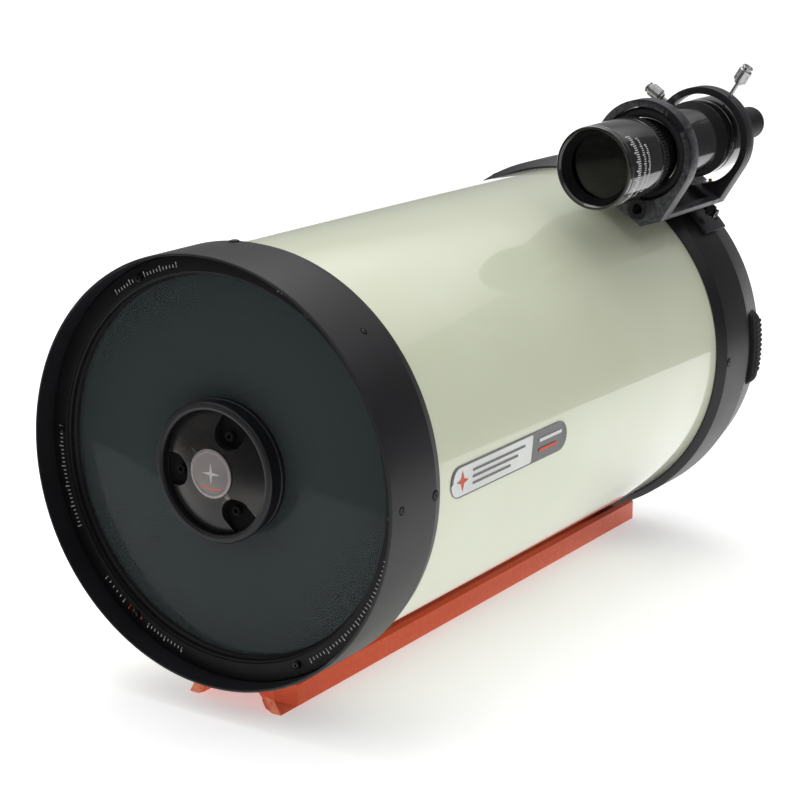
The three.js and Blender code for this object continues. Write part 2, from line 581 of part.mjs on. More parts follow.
// Bracket: two ring plates joined by a base with a keel, and a dovetail foot under its rear end.
const plateOutline = (bottom, halfW) => [
  [-halfW, bottom], [halfW, bottom], [RING_R, BASE_BOTTOM], ...arc(RING_R, 0, 180, 20),
  [-RING_R, BASE_BOTTOM],
];
const bracketParts = [
  prism(plateOutline(KEEL_BOTTOM, KEEL_HALF_W), RING_Y[0], RING_Y[0] + RING_T),
  prism(plateOutline(FOOT_TOP, KEEL_HALF_W + 3), RING_Y[1], RING_Y[1] + RING_T),
  prism([[-KEEL_HALF_W, KEEL_BOTTOM], [KEEL_HALF_W, KEEL_BOTTOM], [RING_R, BASE_BOTTOM], [RING_R, BASE_TOP],
    [-RING_R, BASE_TOP], [-RING_R, BASE_BOTTOM]], RING_Y[0] + 1, SHOE_Y[0] - 9),
  box(-RING_R, RING_R, SHOE_Y[0] - 10, RING_Y[1] + 1, BASE_BOTTOM, BASE_TOP),
  prism([[-FOOT_HALF_W[1], FOOT_BOTTOM], [FOOT_HALF_W[1], FOOT_BOTTOM], [FOOT_HALF_W[0], FOOT_TOP],
    [FOOT_HALF_W[0], BASE_BOTTOM - 3.5], [-FOOT_HALF_W[0], BASE_BOTTOM - 3.5],
    [-FOOT_HALF_W[0], FOOT_TOP]], SHOE_Y[0] - 10, FOOT_END),
];
const adjustTopHole = disc(1.5 + RUN, 0, RING_R + 10, TINY);
adjustTopHole.rotateX(Math.PI / 2);
const adjustSideHole = disc(1.5 + RUN, 0, RING_R + 10, TINY);
adjustSideHole.rotateZ(Math.PI / 2);
const plungerHole = disc(3 + GAP, 0, RING_R + 12, SMALL);
plungerHole.rotateX(Math.PI / 2);
plungerHole.rotateY(3 * Math.PI / 4);
const bracketCuts = [
  disc(RING_BORE_R, RING_Y[0] - 5, RING_Y[1] + RING_T + 30, MID),
  box(-KEEL_HALF_W + 8, KEEL_HALF_W - 8, RING_Y[0] + RING_T + 4, SHOE_Y[0] - 16, KEEL_BOTTOM - 5, -37),
  moved(adjustTopHole, 0, ADJUST_Y, 0),
  moved(adjustSideHole, 0, ADJUST_Y, ADJUST_SIDE_U),
  moved(plungerHole, 0, ADJUST_Y, 0),
];
add(bracketFrame, 'finder_bracket', subtract(union(bracketParts), bracketCuts), 'blackCast');

// Chrome adjusting screws, one above and one at the side of the rear ring, and the sprung plunger
// opposite to both.
const scopeLift = (ADJUST_Y - PIVOT_Y) * Math.sin(FINDER_TILT * RAD);
const topScrew = addAt(bracketFrame, 'adjust_screw_top', thumbscrew(1.5, 20, 5.2, 14), 'chrome',
  0, ADJUST_Y, FINDER_REAR_R + scopeLift + RUN);
topScrew.rotation.x = Math.PI / 2;
const sideScrew = addAt(bracketFrame, 'adjust_screw_side', thumbscrew(1.5, 16, 5.2, 14), 'chrome',
  -FINDER_REAR_R - RUN, ADJUST_Y, ADJUST_SIDE_U);
sideScrew.rotation.z = Math.PI / 2;
const plunger = new THREE.Group();
plunger.position.set(0, ADJUST_Y, 0);
plunger.rotation.y = 3 * Math.PI / 4;
bracketFrame.add(plunger);
const pinTip = FINDER_REAR_R + PLUNGER_TIP_CLEAR;
const pin = addAt(plunger, 'plunger_pin', disc(1.3, 0, 9, TINY), 'brass', 0, 0, pinTip);
pin.rotation.x = Math.PI / 2;
const body = add(plunger, 'plunger_body', turned([
  [1.3 + RUN, RING_BORE_R + 0.6], [3, RING_BORE_R + 0.6], [3, RING_R + 7], [0, RING_R + 7],
  [0, RING_R + 5], [1.3 + RUN, RING_R + 5],
], TINY), 'chrome');
body.rotation.x = Math.PI / 2;

// Finder scope, tipped a little about the O-ring in the front ring.
const scope = new THREE.Group();
scope.position.set(0, PIVOT_Y, 0);
scope.rotation.x = FINDER_TILT * RAD;
bracketFrame.add(scope);
const ringHalfGap = (RING_BORE_R - FINDER_TUBE_R) / 2;
const cordR = ringHalfGap - RUN;
const cord = Array.from({ length: 8 }, (_, i) => [
  FINDER_TUBE_R + ringHalfGap + cordR * Math.cos(i * 45 * RAD), cordR * Math.sin(i * 45 * RAD),
]);
add(scope, 'finder_o_ring', turned(cord, MID), 'rubber');

const cellY = [-76.5, -27.5];
const cellBoreR = FINDER_LENS_R + GAP;
add(scope, 'finder_objective_cell', turned([
  [FINDER_LENS_R - 1, cellY[0]], [FINDER_CELL_R - 0.6, cellY[0]], [FINDER_CELL_R, cellY[0] + 0.8],
  [FINDER_CELL_R, cellY[1] - 1], [FINDER_CELL_R - 0.8, cellY[1]], [cellBoreR, cellY[1]],
  [cellBoreR, cellY[0] + 6], [FINDER_LENS_R - 1, cellY[0] + 6],
], MID), 'blackGloss');
add(scope, 'finder_objective', turned([
  [0, cellY[0] + 6], [FINDER_LENS_R * 0.6, cellY[0] + 6.6], [FINDER_LENS_R, cellY[0] + 8],
  [FINDER_LENS_R, cellY[0] + 13], [0, cellY[0] + 13],
], MID), 'glass');
add(scope, 'finder_lock_ring',
  tube(cellBoreR, FINDER_CELL_R - 0.3, cellY[1] + RUN, cellY[1] + 10, MID), 'blackGloss');
const eyepieceBoreR = EYEPIECE_R + GAP;
add(scope, 'finder_tube', turned([
  [FINDER_TUBE_R - 1.8, cellY[0] + 15], [FINDER_TUBE_R, cellY[0] + 15], [FINDER_TUBE_R, 62],
  [FINDER_REAR_R, 74], [FINDER_REAR_R, 108], [FINDER_REAR_R - 9, 113], [FINDER_REAR_R - 11, 124],
  [eyepieceBoreR, 124], [eyepieceBoreR, 108], [FINDER_REAR_R - 2, 105], [FINDER_REAR_R - 2, 75],
  [FINDER_TUBE_R - 1.8, 62],
], MID), 'blackGloss');
add(scope, 'finder_eyepiece', turned([
  [EYEPIECE_R - 1.6, 110], [EYEPIECE_R, 110], [EYEPIECE_R, 124.5], [EYEPIECE_R - 0.6, 125],
  [EYEPIECE_R - 1.4, 172], [EYEPIECE_R - 2.4, 173.5], [8.5, 173.5], [7.5, 168], [7.5, 160],
  [EYEPIECE_R - 1.6, 150],
], SMALL), 'blackPlastic');
add(scope, 'finder_eye_lens', disc(7.5 - GAP, 161, 166, SMALL), 'glass');

export default root;
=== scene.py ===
import math

import bmesh
import bpy
from mathutils import Matrix, Vector


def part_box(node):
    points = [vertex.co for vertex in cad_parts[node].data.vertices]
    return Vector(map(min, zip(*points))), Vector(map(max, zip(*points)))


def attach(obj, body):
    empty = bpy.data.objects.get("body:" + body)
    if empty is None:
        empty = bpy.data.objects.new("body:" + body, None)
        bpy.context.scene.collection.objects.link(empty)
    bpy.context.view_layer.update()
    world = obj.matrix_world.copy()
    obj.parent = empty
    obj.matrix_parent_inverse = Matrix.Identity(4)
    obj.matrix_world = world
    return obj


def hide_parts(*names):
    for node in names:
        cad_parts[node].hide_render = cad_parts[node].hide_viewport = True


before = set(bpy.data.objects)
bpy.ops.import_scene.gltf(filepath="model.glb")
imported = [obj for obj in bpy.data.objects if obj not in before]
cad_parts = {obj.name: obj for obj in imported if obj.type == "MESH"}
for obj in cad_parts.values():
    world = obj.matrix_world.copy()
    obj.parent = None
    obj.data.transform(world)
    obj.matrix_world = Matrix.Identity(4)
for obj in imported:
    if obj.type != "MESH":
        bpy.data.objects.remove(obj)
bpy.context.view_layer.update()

MM = 0.001
COLLECTION = bpy.context.scene.collection

# ---------------------------------------------------------------- places
# Sizes below are in millimetres. OTA has its origin on the optical axis at the front of the front
# cell, with Y running back along the tube. BRACKET has its origin on the finder's axis, X across
# and Z away from the tube. SCOPE is tipped a little about the O-ring.
cell_low, cell_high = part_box("front_cell")
axis_z = (cell_low.z + cell_high.z) / 2
OTA = Matrix.Translation((0, cell_low.y, axis_z)) @ Matrix.Scale(MM, 4)
FINDER = OTA @ Matrix.Rotation(math.radians(32), 4, "Y")
BRACKET = FINDER @ Matrix.Translation((0, 0, 187.5))
SCOPE = BRACKET @ Matrix.Translation((0, 381.5, 0)) @ Matrix.Rotation(math.radians(1.2), 4, "X")
TO_X = Matrix.Rotation(math.radians(-90), 4, "Z")
TO_Z = Matrix.Rotation(math.radians(90), 4, "X")


def row_y(node):
    """Front and back of a CAD node, in millimetres behind the front of the tube."""
    low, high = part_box(node)
    return (low.y - cell_low.y) / MM, (high.y - cell_low.y) / MM


# ---------------------------------------------------------------- mesh helpers
def polar(radius, degrees):
    angle = math.radians(degrees)
    return radius * math.cos(angle), radius * math.sin(angle)


def rounded(outline, closed=True, steps=5):
    """Rounds the corners of an outline of (a, b, radius) points."""
    out = []
    count = len(outline)
    for i, point in enumerate(outline):
        here = Vector(point[:2])
        radius = point[2] if len(point) > 2 else 0
        if radius <= 0 or (not closed and i in (0, count - 1)):
            out.append(here)
            continue
        before = Vector(outline[i - 1][:2]) - here
        after = Vector(outline[(i + 1) % count][:2]) - here
        angle = before.angle(after)
        if angle > math.radians(178):
            out.append(here)
            continue
        reach = min(radius / math.tan(angle / 2), before.length * 0.48, after.length * 0.48)
        start = here + before.normalized() * reach
        end = here + after.normalized() * reach
        for k in range(steps + 1):
            t = k / steps
            out.append(start.lerp(here, t).lerp(here.lerp(end, t), t))
    return [(p.x, p.y) for p in out]


def mesh_object(name, bm, smooth=35):
    mesh = bpy.data.meshes.new(name)
    bm.to_mesh(mesh)
    bm.free()
    if smooth:
        mesh.shade_smooth()
        mesh.set_sharp_from_angle(angle=math.radians(smooth))
    obj = bpy.data.objects.new(name, mesh)
    COLLECTION.objects.link(obj)
    return obj


def lathe(outline, segments):
    """Turns a closed (radius, y) outline about Y. Points on the axis become one pole."""
    bm = bmesh.new()
    rings = []
    for radius, y in outline:
        if radius < 1e-5:
            rings.append([bm.verts.new((0, y, 0))])
            continue
        turn = [2 * math.pi * k / segments for k in range(segments)]
        rings.append([bm.verts.new((radius * math.sin(t), y, radius * math.cos(t))) for t in turn])
    for i, ring in enumerate(rings):
        after = rings[(i + 1) % len(rings)]
        if len(ring) == 1 and len(after) == 1:
            continue
        for k in range(segments):
            j = (k + 1) % segments
            corners = [ring[k % len(ring)], after[k % len(after)], after[j % len(after)], ring[j % len(ring)]]
            unique = list(dict.fromkeys(corners))
            bm.faces.new(unique)
    bmesh.ops.recalc_face_normals(bm, faces=bm.faces)
    return bm


def prism(outline, y0, y1):
    """Extrudes an (x, z) outline along Y."""
    bm = bmesh.new()
    front = [bm.verts.new((x, y0, z)) for x, z in outline]
    back = [bm.verts.new((x, y1, z)) for x, z in outline]
    bm.faces.new(front)
    bm.faces.new(back[::-1])
    for i in range(len(outline)):
        j = (i + 1) % len(outline)
        bm.faces.new((front[i], back[i], back[j], front[j]))
    bmesh.ops.recalc_face_normals(bm, faces=bm.faces)
    return bm


def joined(*parts):
    """One bmesh holding copies of several."""
    out = bmesh.new()
    for part in parts:
        mesh = bpy.data.meshes.new("part")
        part.to_mesh(mesh)
        part.free()
        out.from_mesh(mesh)
        bpy.data.meshes.remove(mesh)
    return out


def paint(obj, test, index=1):
    """Gives the faces whose centre passes the test another of the object's materials."""
    for polygon in obj.data.polygons:
        if test(polygon.center):
            polygon.material_index = index
    return obj


def turned_by(bm, matrix):
    bmesh.ops.transform(bm, matrix=matrix, verts=bm.verts)
    return bm


def evaluated(obj):
    """The object with its modifiers made into plain mesh."""
    bpy.context.view_layer.update()
    graph = bpy.context.evaluated_depsgraph_get()
    mesh = bpy.data.meshes.new_from_object(obj.evaluated_get(graph), depsgraph=graph)
    obj.modifiers.clear()
    obj.data = mesh
    return obj


def bevel(obj, width, segments=2, angle=35):
    modifier = obj.modifiers.new("edge_round", "BEVEL")
    modifier.width = width
    modifier.segments = segments
    modifier.limit_method = "ANGLE"
    modifier.angle_limit = math.radians(angle)
    modifier.harden_normals = False
    return obj


def cut(obj, *cutters):
    for cutter in cutters:
        modifier = obj.modifiers.new("cut", "BOOLEAN")
        modifier.operation = "DIFFERENCE"
        modifier.solver = "EXACT"
        modifier.object = cutter
    evaluated(obj)
    for cutter in cutters:
        bpy.data.objects.remove(cutter)
    return obj


def place(obj, matrix, body, materials, nodes=(), smooth=35):
    """Puts a finished piece where it belongs and parents it to its body's empty."""
    if obj.modifiers:
        evaluated(obj)
    obj.data.transform(matrix)
    if matrix.determinant() < 0:
        obj.data.flip_normals()
    if smooth:
        obj.data.shade_smooth()
        obj.data.set_sharp_from_angle(angle=math.radians(smooth))
    if materials:
        painted = [min(polygon.material_index, len(materials) - 1) for polygon in obj.data.polygons]
        obj.data.materials.clear()
        for material in materials:
            obj.data.materials.append(material)
        obj.data.polygons.foreach_set("material_index", painted)
    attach(obj, body)
    if nodes:
        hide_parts(*nodes)
    return obj


def from_cad(node, name, width=0.35, segments=2, dissolve=True):
    """A fine copy of a CAD node, with its edges rounded."""
    bm = bmesh.new()
    bm.from_mesh(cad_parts[node].data)
    bmesh.ops.remove_doubles(bm, verts=bm.verts, dist=1e-6)
    if dissolve:
        bmesh.ops.dissolve_limit(bm, angle_limit=math.radians(0.5), verts=bm.verts, edges=bm.edges)
    obj = mesh_object(name, bm)
    obj.data.materials.clear()
    if width:
        bevel(obj, width * MM, segments)
    return obj


# ---------------------------------------------------------------- geometry node trees
def new_tree(name, inputs):
    tree = bpy.data.node_groups.new(name, "GeometryNodeTree")
    tree.interface.new_socket("Geometry", in_out="INPUT", socket_type="NodeSocketGeometry")
    tree.interface.new_socket("Geometry", in_out="OUTPUT", socket_type="NodeSocketGeometry")
    for label, kind, value in inputs:
        socket = tree.interface.new_socket(label, in_out="INPUT", socket_type=kind)
        if value is not None:
            socket.default_value = value
    return tree


def link(tree, a, b):
    tree.links.new(a, b)


def math_node(tree, operation, a, b=None):
    node = tree.nodes.new("ShaderNodeMath")
    node.operation = operation
    for socket, value in zip(node.inputs, (a, b)):
        if value is None:
            continue
        if isinstance(value, (int, float)):
            socket.default_value = value
        else:
            link(tree, value, socket)
    return node.outputs[0]


def ridge_tree():
    """Ridges round the Y axis, from a first to a last angle, each leaning by Lean."""
    tree = new_tree("ridges_round_axis", [
        ("Count", "NodeSocketInt", 24), ("Radius", "NodeSocketFloat", 5.0),
        ("Depth", "NodeSocketFloat", 0.6), ("Width", "NodeSocketFloat", 0.6),
        ("Length", "NodeSocketFloat", 8.0), ("Position", "NodeSocketFloat", 0.0),
        ("First angle", "NodeSocketFloat", 0.0), ("Step", "NodeSocketFloat", 15.0),
        ("Lean", "NodeSocketFloat", 0.0), ("Finish", "NodeSocketMaterial", None),
        ("Piece", "NodeSocketGeometry", None), ("Use piece", "NodeSocketBool", False),
    ])
    add = tree.nodes.new
    source = add("NodeGroupInput")
    sink = add("NodeGroupOutput")
    line = add("GeometryNodeMeshLine")
    line.mode = "OFFSET"
    line.inputs["Offset"].default_value = (0, 0, 0)
    link(tree, source.outputs["Count"], line.inputs["Count"])
    index = add("GeometryNodeInputIndex")
    turn = math_node(tree, "MULTIPLY", index.outputs[0], source.outputs["Step"])
    turn = math_node(tree, "ADD", turn, source.outputs["First angle"])
    turn = math_node(tree, "RADIANS", turn)
    cosine = math_node(tree, "COSINE", turn)
    sine = math_node(tree, "SINE", turn)
    spot = add("ShaderNodeCombineXYZ")
    link(tree, math_node(tree, "MULTIPLY", cosine, source.outputs["Radius"]), spot.inputs["X"])
    link(tree, source.outputs["Position"], spot.inputs["Y"])
    link(tree, math_node(tree, "MULTIPLY", sine, source.outputs["Radius"]), spot.inputs["Z"])
    shift = add("GeometryNodeSetPosition")
    link(tree, line.outputs["Mesh"], shift.inputs["Geometry"])
    link(tree, spot.outputs[0], shift.inputs["Position"])
    size = add("ShaderNodeCombineXYZ")
    link(tree, source.outputs["Depth"], size.inputs["X"])
    link(tree, source.outputs["Length"], size.inputs["Y"])
    link(tree, source.outputs["Width"], size.inputs["Z"])
    block = add("GeometryNodeMeshCube")
    link(tree, size.outputs[0], block.inputs["Size"])
    choose = add("GeometryNodeSwitch")
    choose.input_type = "GEOMETRY"
    link(tree, source.outputs["Use piece"], choose.inputs["Switch"])
    link(tree, block.outputs["Mesh"], choose.inputs["False"])
    link(tree, source.outputs["Piece"], choose.inputs["True"])
    euler = add("ShaderNodeCombineXYZ")
    link(tree, math_node(tree, "RADIANS", source.outputs["Lean"]), euler.inputs["X"])
    link(tree, math_node(tree, "MULTIPLY", turn, -1.0), euler.inputs["Y"])
    spread = add("GeometryNodeInstanceOnPoints")
    link(tree, shift.outputs["Geometry"], spread.inputs["Points"])
    link(tree, choose.outputs[0], spread.inputs["Instance"])
    link(tree, euler.outputs[0], spread.inputs["Rotation"])
    real = add("GeometryNodeRealizeInstances")
    link(tree, spread.outputs[0], real.inputs[0])
    paint = add("GeometryNodeSetMaterial")
    link(tree, real.outputs[0], paint.inputs["Geometry"])
    link(tree, source.outputs["Finish"], paint.inputs["Material"])
    both = add("GeometryNodeJoinGeometry")
    link(tree, paint.outputs[0], both.inputs[0])
    link(tree, source.outputs["Geometry"], both.inputs[0])
    link(tree, both.outputs[0], sink.inputs[0])
    return tree


RIDGES = ridge_tree()


def ridged(obj, tree=None, **values):
    """Runs the ridge tree on an object and keeps the result as plain mesh."""
    tree = tree or RIDGES
    modifier = obj.modifiers.new("ridges", "NODES")
    modifier.node_group = tree
    labels = {key.replace("_", " ").lower(): value for key, value in values.items()}
    for item in tree.interface.items_tree:
        if item.item_type == "SOCKET" and item.in_out == "INPUT" and item.name.lower() in labels:
            modifier[item.identifier] = labels[item.name.lower()]
    return evaluated(obj)


def copies_tree():
    """Copies of one shaped piece round the Y axis."""
    tree = new_tree("copies_round_axis", [
        ("Count", "NodeSocketInt", 6), ("Radius", "NodeSocketFloat", 10.0),
        ("First angle", "NodeSocketFloat", 0.0), ("Step", "NodeSocketFloat", 60.0),
        ("Finish", "NodeSocketMaterial", None),
    ])
    add = tree.nodes.new
    source = add("NodeGroupInput")
    sink = add("NodeGroupOutput")
    line = add("GeometryNodeMeshLine")
    line.inputs["Offset"].default_value = (0, 0, 0)
    link(tree, source.outputs["Count"], line.inputs["Count"])
    index = add("GeometryNodeInputIndex")
    turn = math_node(tree, "MULTIPLY", index.outputs[0], source.outputs["Step"])
    turn = math_node(tree, "RADIANS", math_node(tree, "ADD", turn, source.outputs["First angle"]))
    spot = add("ShaderNodeCombineXYZ")
    link(tree, math_node(tree, "MULTIPLY", math_node(tree, "COSINE", turn), source.outputs["Radius"]),
         spot.inputs["X"])
    link(tree, math_node(tree, "MULTIPLY", math_node(tree, "SINE", turn), source.outputs["Radius"]),
         spot.inputs["Z"])
    shift = add("GeometryNodeSetPosition")
    link(tree, line.outputs["Mesh"], shift.inputs["Geometry"])
    link(tree, spot.outputs[0], shift.inputs["Position"])
    euler = add("ShaderNodeCombineXYZ")
    link(tree, math_node(tree, "MULTIPLY", turn, -1.0), euler.inputs["Y"])
    spread = add("GeometryNodeInstanceOnPoints")
    link(tree, shift.outputs["Geometry"], spread.inputs["Points"])
    link(tree, source.outputs["Geometry"], spread.inputs["Instance"])
    link(tree, euler.outputs[0], spread.inputs["Rotation"])
    real = add("GeometryNodeRealizeInstances")
    link(tree, spread.outputs[0], real.inputs[0])
    paint = add("GeometryNodeSetMaterial")
    link(tree, real.outputs[0], paint.inputs["Geometry"])
    link(tree, source.outputs["Finish"], paint.inputs["Material"])
    link(tree, paint.outputs[0], sink.inputs[0])
    return tree


COPIES = copies_tree()


# ---------------------------------------------------------------- shader node groups
def new_shader_group(name, inputs, outputs):
    tree = bpy.data.node_groups.new(name, "ShaderNodeTree")
    for label, kind, value in inputs:
        socket = tree.interface.new_socket(label, in_out="INPUT", socket_type=kind)
        if value is not None:
            socket.default_value = value
    for label, kind in outputs:
        tree.interface.new_socket(label, in_out="OUTPUT", socket_type=kind)
    return tree, tree.nodes.new("NodeGroupInput"), tree.nodes.new("NodeGroupOutput")


def map_range(tree, value, a, b, low, high):
    node = tree.nodes.new("ShaderNodeMapRange")
    link(tree, value, node.inputs["Value"])
    for label, item in (("From Min", a), ("From Max", b), ("To Min", low), ("To Max", high)):
        if isinstance(item, (int, float)):
            node.inputs[label].default_value = item
        else:
            link(tree, item, node.inputs[label])
    return node.outputs[0]


def noise(tree, vector, scale, detail=3.0, rough=0.5):
    node = tree.nodes.new("ShaderNodeTexNoise")
    link(tree, vector, node.inputs["Vector"])
    if isinstance(scale, (int, float)):
        node.inputs["Scale"].default_value = scale
    else:
        link(tree, scale, node.inputs["Scale"])
    node.inputs["Detail"].default_value = detail
    node.inputs["Roughness"].default_value = rough
    return node.outputs[0]


def make_grain():
    """Fine surface grain, with broad unevenness under it."""
    tree, source, sink = new_shader_group("surface_grain", [
        ("Vector", "NodeSocketVector", None), ("Grain scale", "NodeSocketFloat", 2000.0),
        ("Broad scale", "NodeSocketFloat", 25.0), ("Broad share", "NodeSocketFloat", 0.3),
    ], [("Height", "NodeSocketFloat"), ("Cloud", "NodeSocketFloat")])
    fine = noise(tree, source.outputs["Vector"], source.outputs["Grain scale"], 2.0, 0.6)
    broad = noise(tree, source.outputs["Vector"], source.outputs["Broad scale"], 3.0, 0.5)
    part = math_node(tree, "MULTIPLY", broad, source.outputs["Broad share"])
    link(tree, math_node(tree, "ADD", fine, part), sink.inputs["Height"])
    link(tree, map_range(tree, broad, 0.35, 0.65, 0.0, 1.0), sink.inputs["Cloud"])
    return tree


def make_wear():
    """Where an edge sticks out enough to rub bright, broken up by a fine noise."""
    tree, source, sink = new_shader_group("edge_wear", [
        ("Vector", "NodeSocketVector", None), ("Start", "NodeSocketFloat", 0.52),
        ("Full", "NodeSocketFloat", 0.6), ("Break-up scale", "NodeSocketFloat", 350.0),
    ], [("Mask", "NodeSocketFloat")])
    shape = tree.nodes.new("ShaderNodeNewGeometry")
    edge = map_range(tree, shape.outputs["Pointiness"], source.outputs["Start"],
                     source.outputs["Full"], 0.0, 1.0)
    broken = noise(tree, source.outputs["Vector"], source.outputs["Break-up scale"], 4.0, 0.6)
    broken = map_range(tree, broken, 0.35, 0.6, 0.25, 1.0)
    link(tree, math_node(tree, "MULTIPLY", edge, broken), sink.inputs["Mask"])
    return tree


def make_smudge():
    """Faint handling marks and dust, as a value that changes slowly over the surface."""
    tree, source, sink = new_shader_group("handling_marks", [
        ("Vector", "NodeSocketVector", None), ("Scale", "NodeSocketFloat", 14.0),
        ("Low", "NodeSocketFloat", 0.3), ("High", "NodeSocketFloat", 0.4),
    ], [("Value", "NodeSocketFloat")])
    warp = noise(tree, source.outputs["Vector"], source.outputs["Scale"], 5.0, 0.62)
    link(tree, map_range(tree, warp, 0.3, 0.7, source.outputs["Low"], source.outputs["High"]),
         sink.inputs["Value"])
    return tree


GRAIN = make_grain()
WEAR = make_wear()
SMUDGE = make_smudge()


def group_node(tree, group, vector, **values):
    node = tree.nodes.new("ShaderNodeGroup")
    node.node_tree = group
    link(tree, vector, node.inputs["Vector"])
    for key, value in values.items():
        node.inputs[key.replace("_", " ")].default_value = value
    return node


def mix_colour(tree, mask, a, b):
    node = tree.nodes.new("ShaderNodeMix")
    node.data_type = "RGBA"
    link(tree, mask, node.inputs["Factor"])
    for socket, item in ((node.inputs["A"], a), (node.inputs["B"], b)):
        if isinstance(item, (tuple, list)):
            socket.default_value = (*item, 1.0)
        else:
            link(tree, item, socket)
    return node.outputs["Result"]


def srgb(r, g, b):
    def linear(c):
        c /= 255
        return c / 12.92 if c <= 0.04045 else ((c + 0.055) / 1.055) ** 2.4
    return linear(r), linear(g), linear(b)


def finish(name, colour, tint, rough, metallic=0.0, grain=2000.0, bump=0.1, depth=0.00005, wear=None,
           stretch=(1, 1, 1), turn=(0, 0, 0), marks=14.0, coat=0.0, coat_rough=0.05, ior=1.5,
           broad=25.0, share=0.3, wear_start=0.52, wear_full=0.6, specular=0.5):
    """A surface with a slow change of colour, a grain in its relief and roughness, and worn edges."""
    material = bpy.data.materials.new(name)
    material.use_nodes = True
    tree = material.node_tree
    shader = tree.nodes["Principled BSDF"]
    coords = tree.nodes.new("ShaderNodeTexCoord")
    mapping = tree.nodes.new("ShaderNodeMapping")
    mapping.inputs["Scale"].default_value = stretch
    mapping.inputs["Rotation"].default_value = turn
    link(tree, coords.outputs["Object"], mapping.inputs["Vector"])
    grain_node = group_node(tree, GRAIN, mapping.outputs[0], Grain_scale=grain, Broad_scale=broad,
                            Broad_share=share)
    base = mix_colour(tree, grain_node.outputs["Cloud"], colour, tint)
    if wear:
        wear_node = group_node(tree, WEAR, coords.outputs["Object"], Start=wear_start, Full=wear_full)
        base = mix_colour(tree, wear_node.outputs["Mask"], base, wear)
    link(tree, base, shader.inputs["Base Color"])
    marks_node = group_node(tree, SMUDGE, coords.outputs["Object"], Scale=marks, Low=rough[0],
                            High=rough[1])
    link(tree, marks_node.outputs["Value"], shader.inputs["Roughness"])
    relief = tree.nodes.new("ShaderNodeBump")
    relief.inputs["Strength"].default_value = bump
    relief.inputs["Distance"].default_value = depth
    link(tree, grain_node.outputs["Height"], relief.inputs["Height"])
    link(tree, relief.outputs[0], shader.inputs["Normal"])
    shader.inputs["Metallic"].default_value = metallic
    shader.inputs["Coat Weight"].default_value = coat
    shader.inputs["Coat Roughness"].default_value = coat_rough
    shader.inputs["IOR"].default_value = ior
    shader.inputs["Specular IOR Level"].default_value = specular
    return material


def lens_glass(name, tint, ior, rough=0.01, clear=1.0):
    """Coated glass with a trace of dust in its roughness."""
    material = bpy.data.materials.new(name)
    material.use_nodes = True
    tree = material.node_tree
    shader = tree.nodes["Principled BSDF"]
    coords = tree.nodes.new("ShaderNodeTexCoord")
    dust = group_node(tree, SMUDGE, coords.outputs["Object"], Scale=60.0, Low=rough * 0.3, High=rough)
    link(tree, dust.outputs["Value"], shader.inputs["Roughness"])
    shade = group_node(tree, SMUDGE, coords.outputs["Object"], Scale=9.0, Low=0.0, High=1.0)
    pale = tuple(min(1.0, c * 1.06) for c in tint)
    link(tree, mix_colour(tree, shade.outputs["Value"], tint, pale), shader.inputs["Base Color"])
    shader.inputs["IOR"].default_value = ior
    shader.inputs["Transmission Weight"].default_value = clear
    return material


satin_black = finish("satin_black_anodised", srgb(20, 20, 23), srgb(25, 25, 29), (0.4, 0.48),
                     grain=2600.0, bump=0.25, wear=srgb(70, 70, 76), wear_start=0.53, wear_full=0.62,
                     specular=0.36)
ring_black = finish("retaining_ring_black", srgb(10, 10, 11), srgb(14, 14, 15), (0.4, 0.5),
                    grain=3200.0, bump=0.2, wear=srgb(60, 60, 64), specular=0.2)
cell_black = finish("cast_cell_black", srgb(17, 17, 20), srgb(23, 23, 26), (0.34, 0.42),
                    grain=2200.0, bump=0.28, wear=srgb(78, 78, 84), specular=0.36)
# Flat black, mostly for insides and baffles; the same material is also painted shade in the scallops of the
# secondary dish and in the rings round the side screws.
flat_black_and_painted_shade = finish("flat_black_inside_and_painted_shade", srgb(8, 8, 8), srgb(11, 11, 11), (0.85, 0.95), grain=900.0,
                    bump=0.1, specular=0.2)
gloss_black = finish("gloss_black_paint", srgb(5, 5, 6), srgb(8, 8, 9), (0.12, 0.18), grain=700.0,
                     bump=0.05, coat=0.6, coat_rough=0.06, wear=srgb(50, 50, 52))
moulded_black = finish("moulded_black_plastic", srgb(11, 11, 12), srgb(15, 15, 16), (0.42, 0.55),
                       grain=1500.0, bump=0.3, wear=srgb(48, 48, 50), specular=0.25)
rubber_black = finish("ribbed_rubber", srgb(13, 13, 13), srgb(20, 20, 20), (0.7, 0.85), grain=1800.0,
                      bump=0.45, wear=srgb(44, 44, 44))
blackened = finish("blackened_steel", srgb(20, 20, 21), srgb(30, 30, 30), (0.28, 0.38), metallic=0.8,
                   grain=2500.0, bump=0.15, wear=srgb(120, 120, 120))
pearl_paint = finish("pearl_cream_paint", srgb(207, 212, 186), srgb(211, 216, 192), (0.3, 0.36),
                     grain=160.0, bump=0.02, depth=0.0002, coat=1.0, coat_rough=0.035, broad=9.0,
                     share=0.4)
orange_bar = finish("orange_anodised", srgb(226, 84, 40), srgb(216, 74, 34), (0.34, 0.46),
                    metallic=0.4, grain=1500.0, bump=0.2, stretch=(1, 0.03, 1), broad=60.0,
                    wear=srgb(235, 150, 115))
chrome = finish("knurled_chrome", srgb(168, 168, 168), srgb(150, 150, 152), (0.24, 0.34),
                metallic=1.0, grain=1500.0, bump=0.08, wear=srgb(225, 225, 225))
brass = finish("turned_brass", srgb(200, 160, 100), srgb(180, 140, 85), (0.2, 0.32), metallic=1.0,
               grain=1500.0, bump=0.12, wear=srgb(230, 200, 150))
machined = finish("machined_aluminium", srgb(170, 171, 174), srgb(150, 151, 155), (0.3, 0.42),
                  metallic=1.0, grain=1500.0, bump=0.2, stretch=(1, 6, 1), wear=srgb(215, 215, 218))
steel = finish("turned_steel", srgb(165, 165, 165), srgb(140, 140, 142), (0.25, 0.38), metallic=1.0,
               grain=1500.0, bump=0.2, stretch=(1, 8, 1), wear=srgb(215, 215, 215))
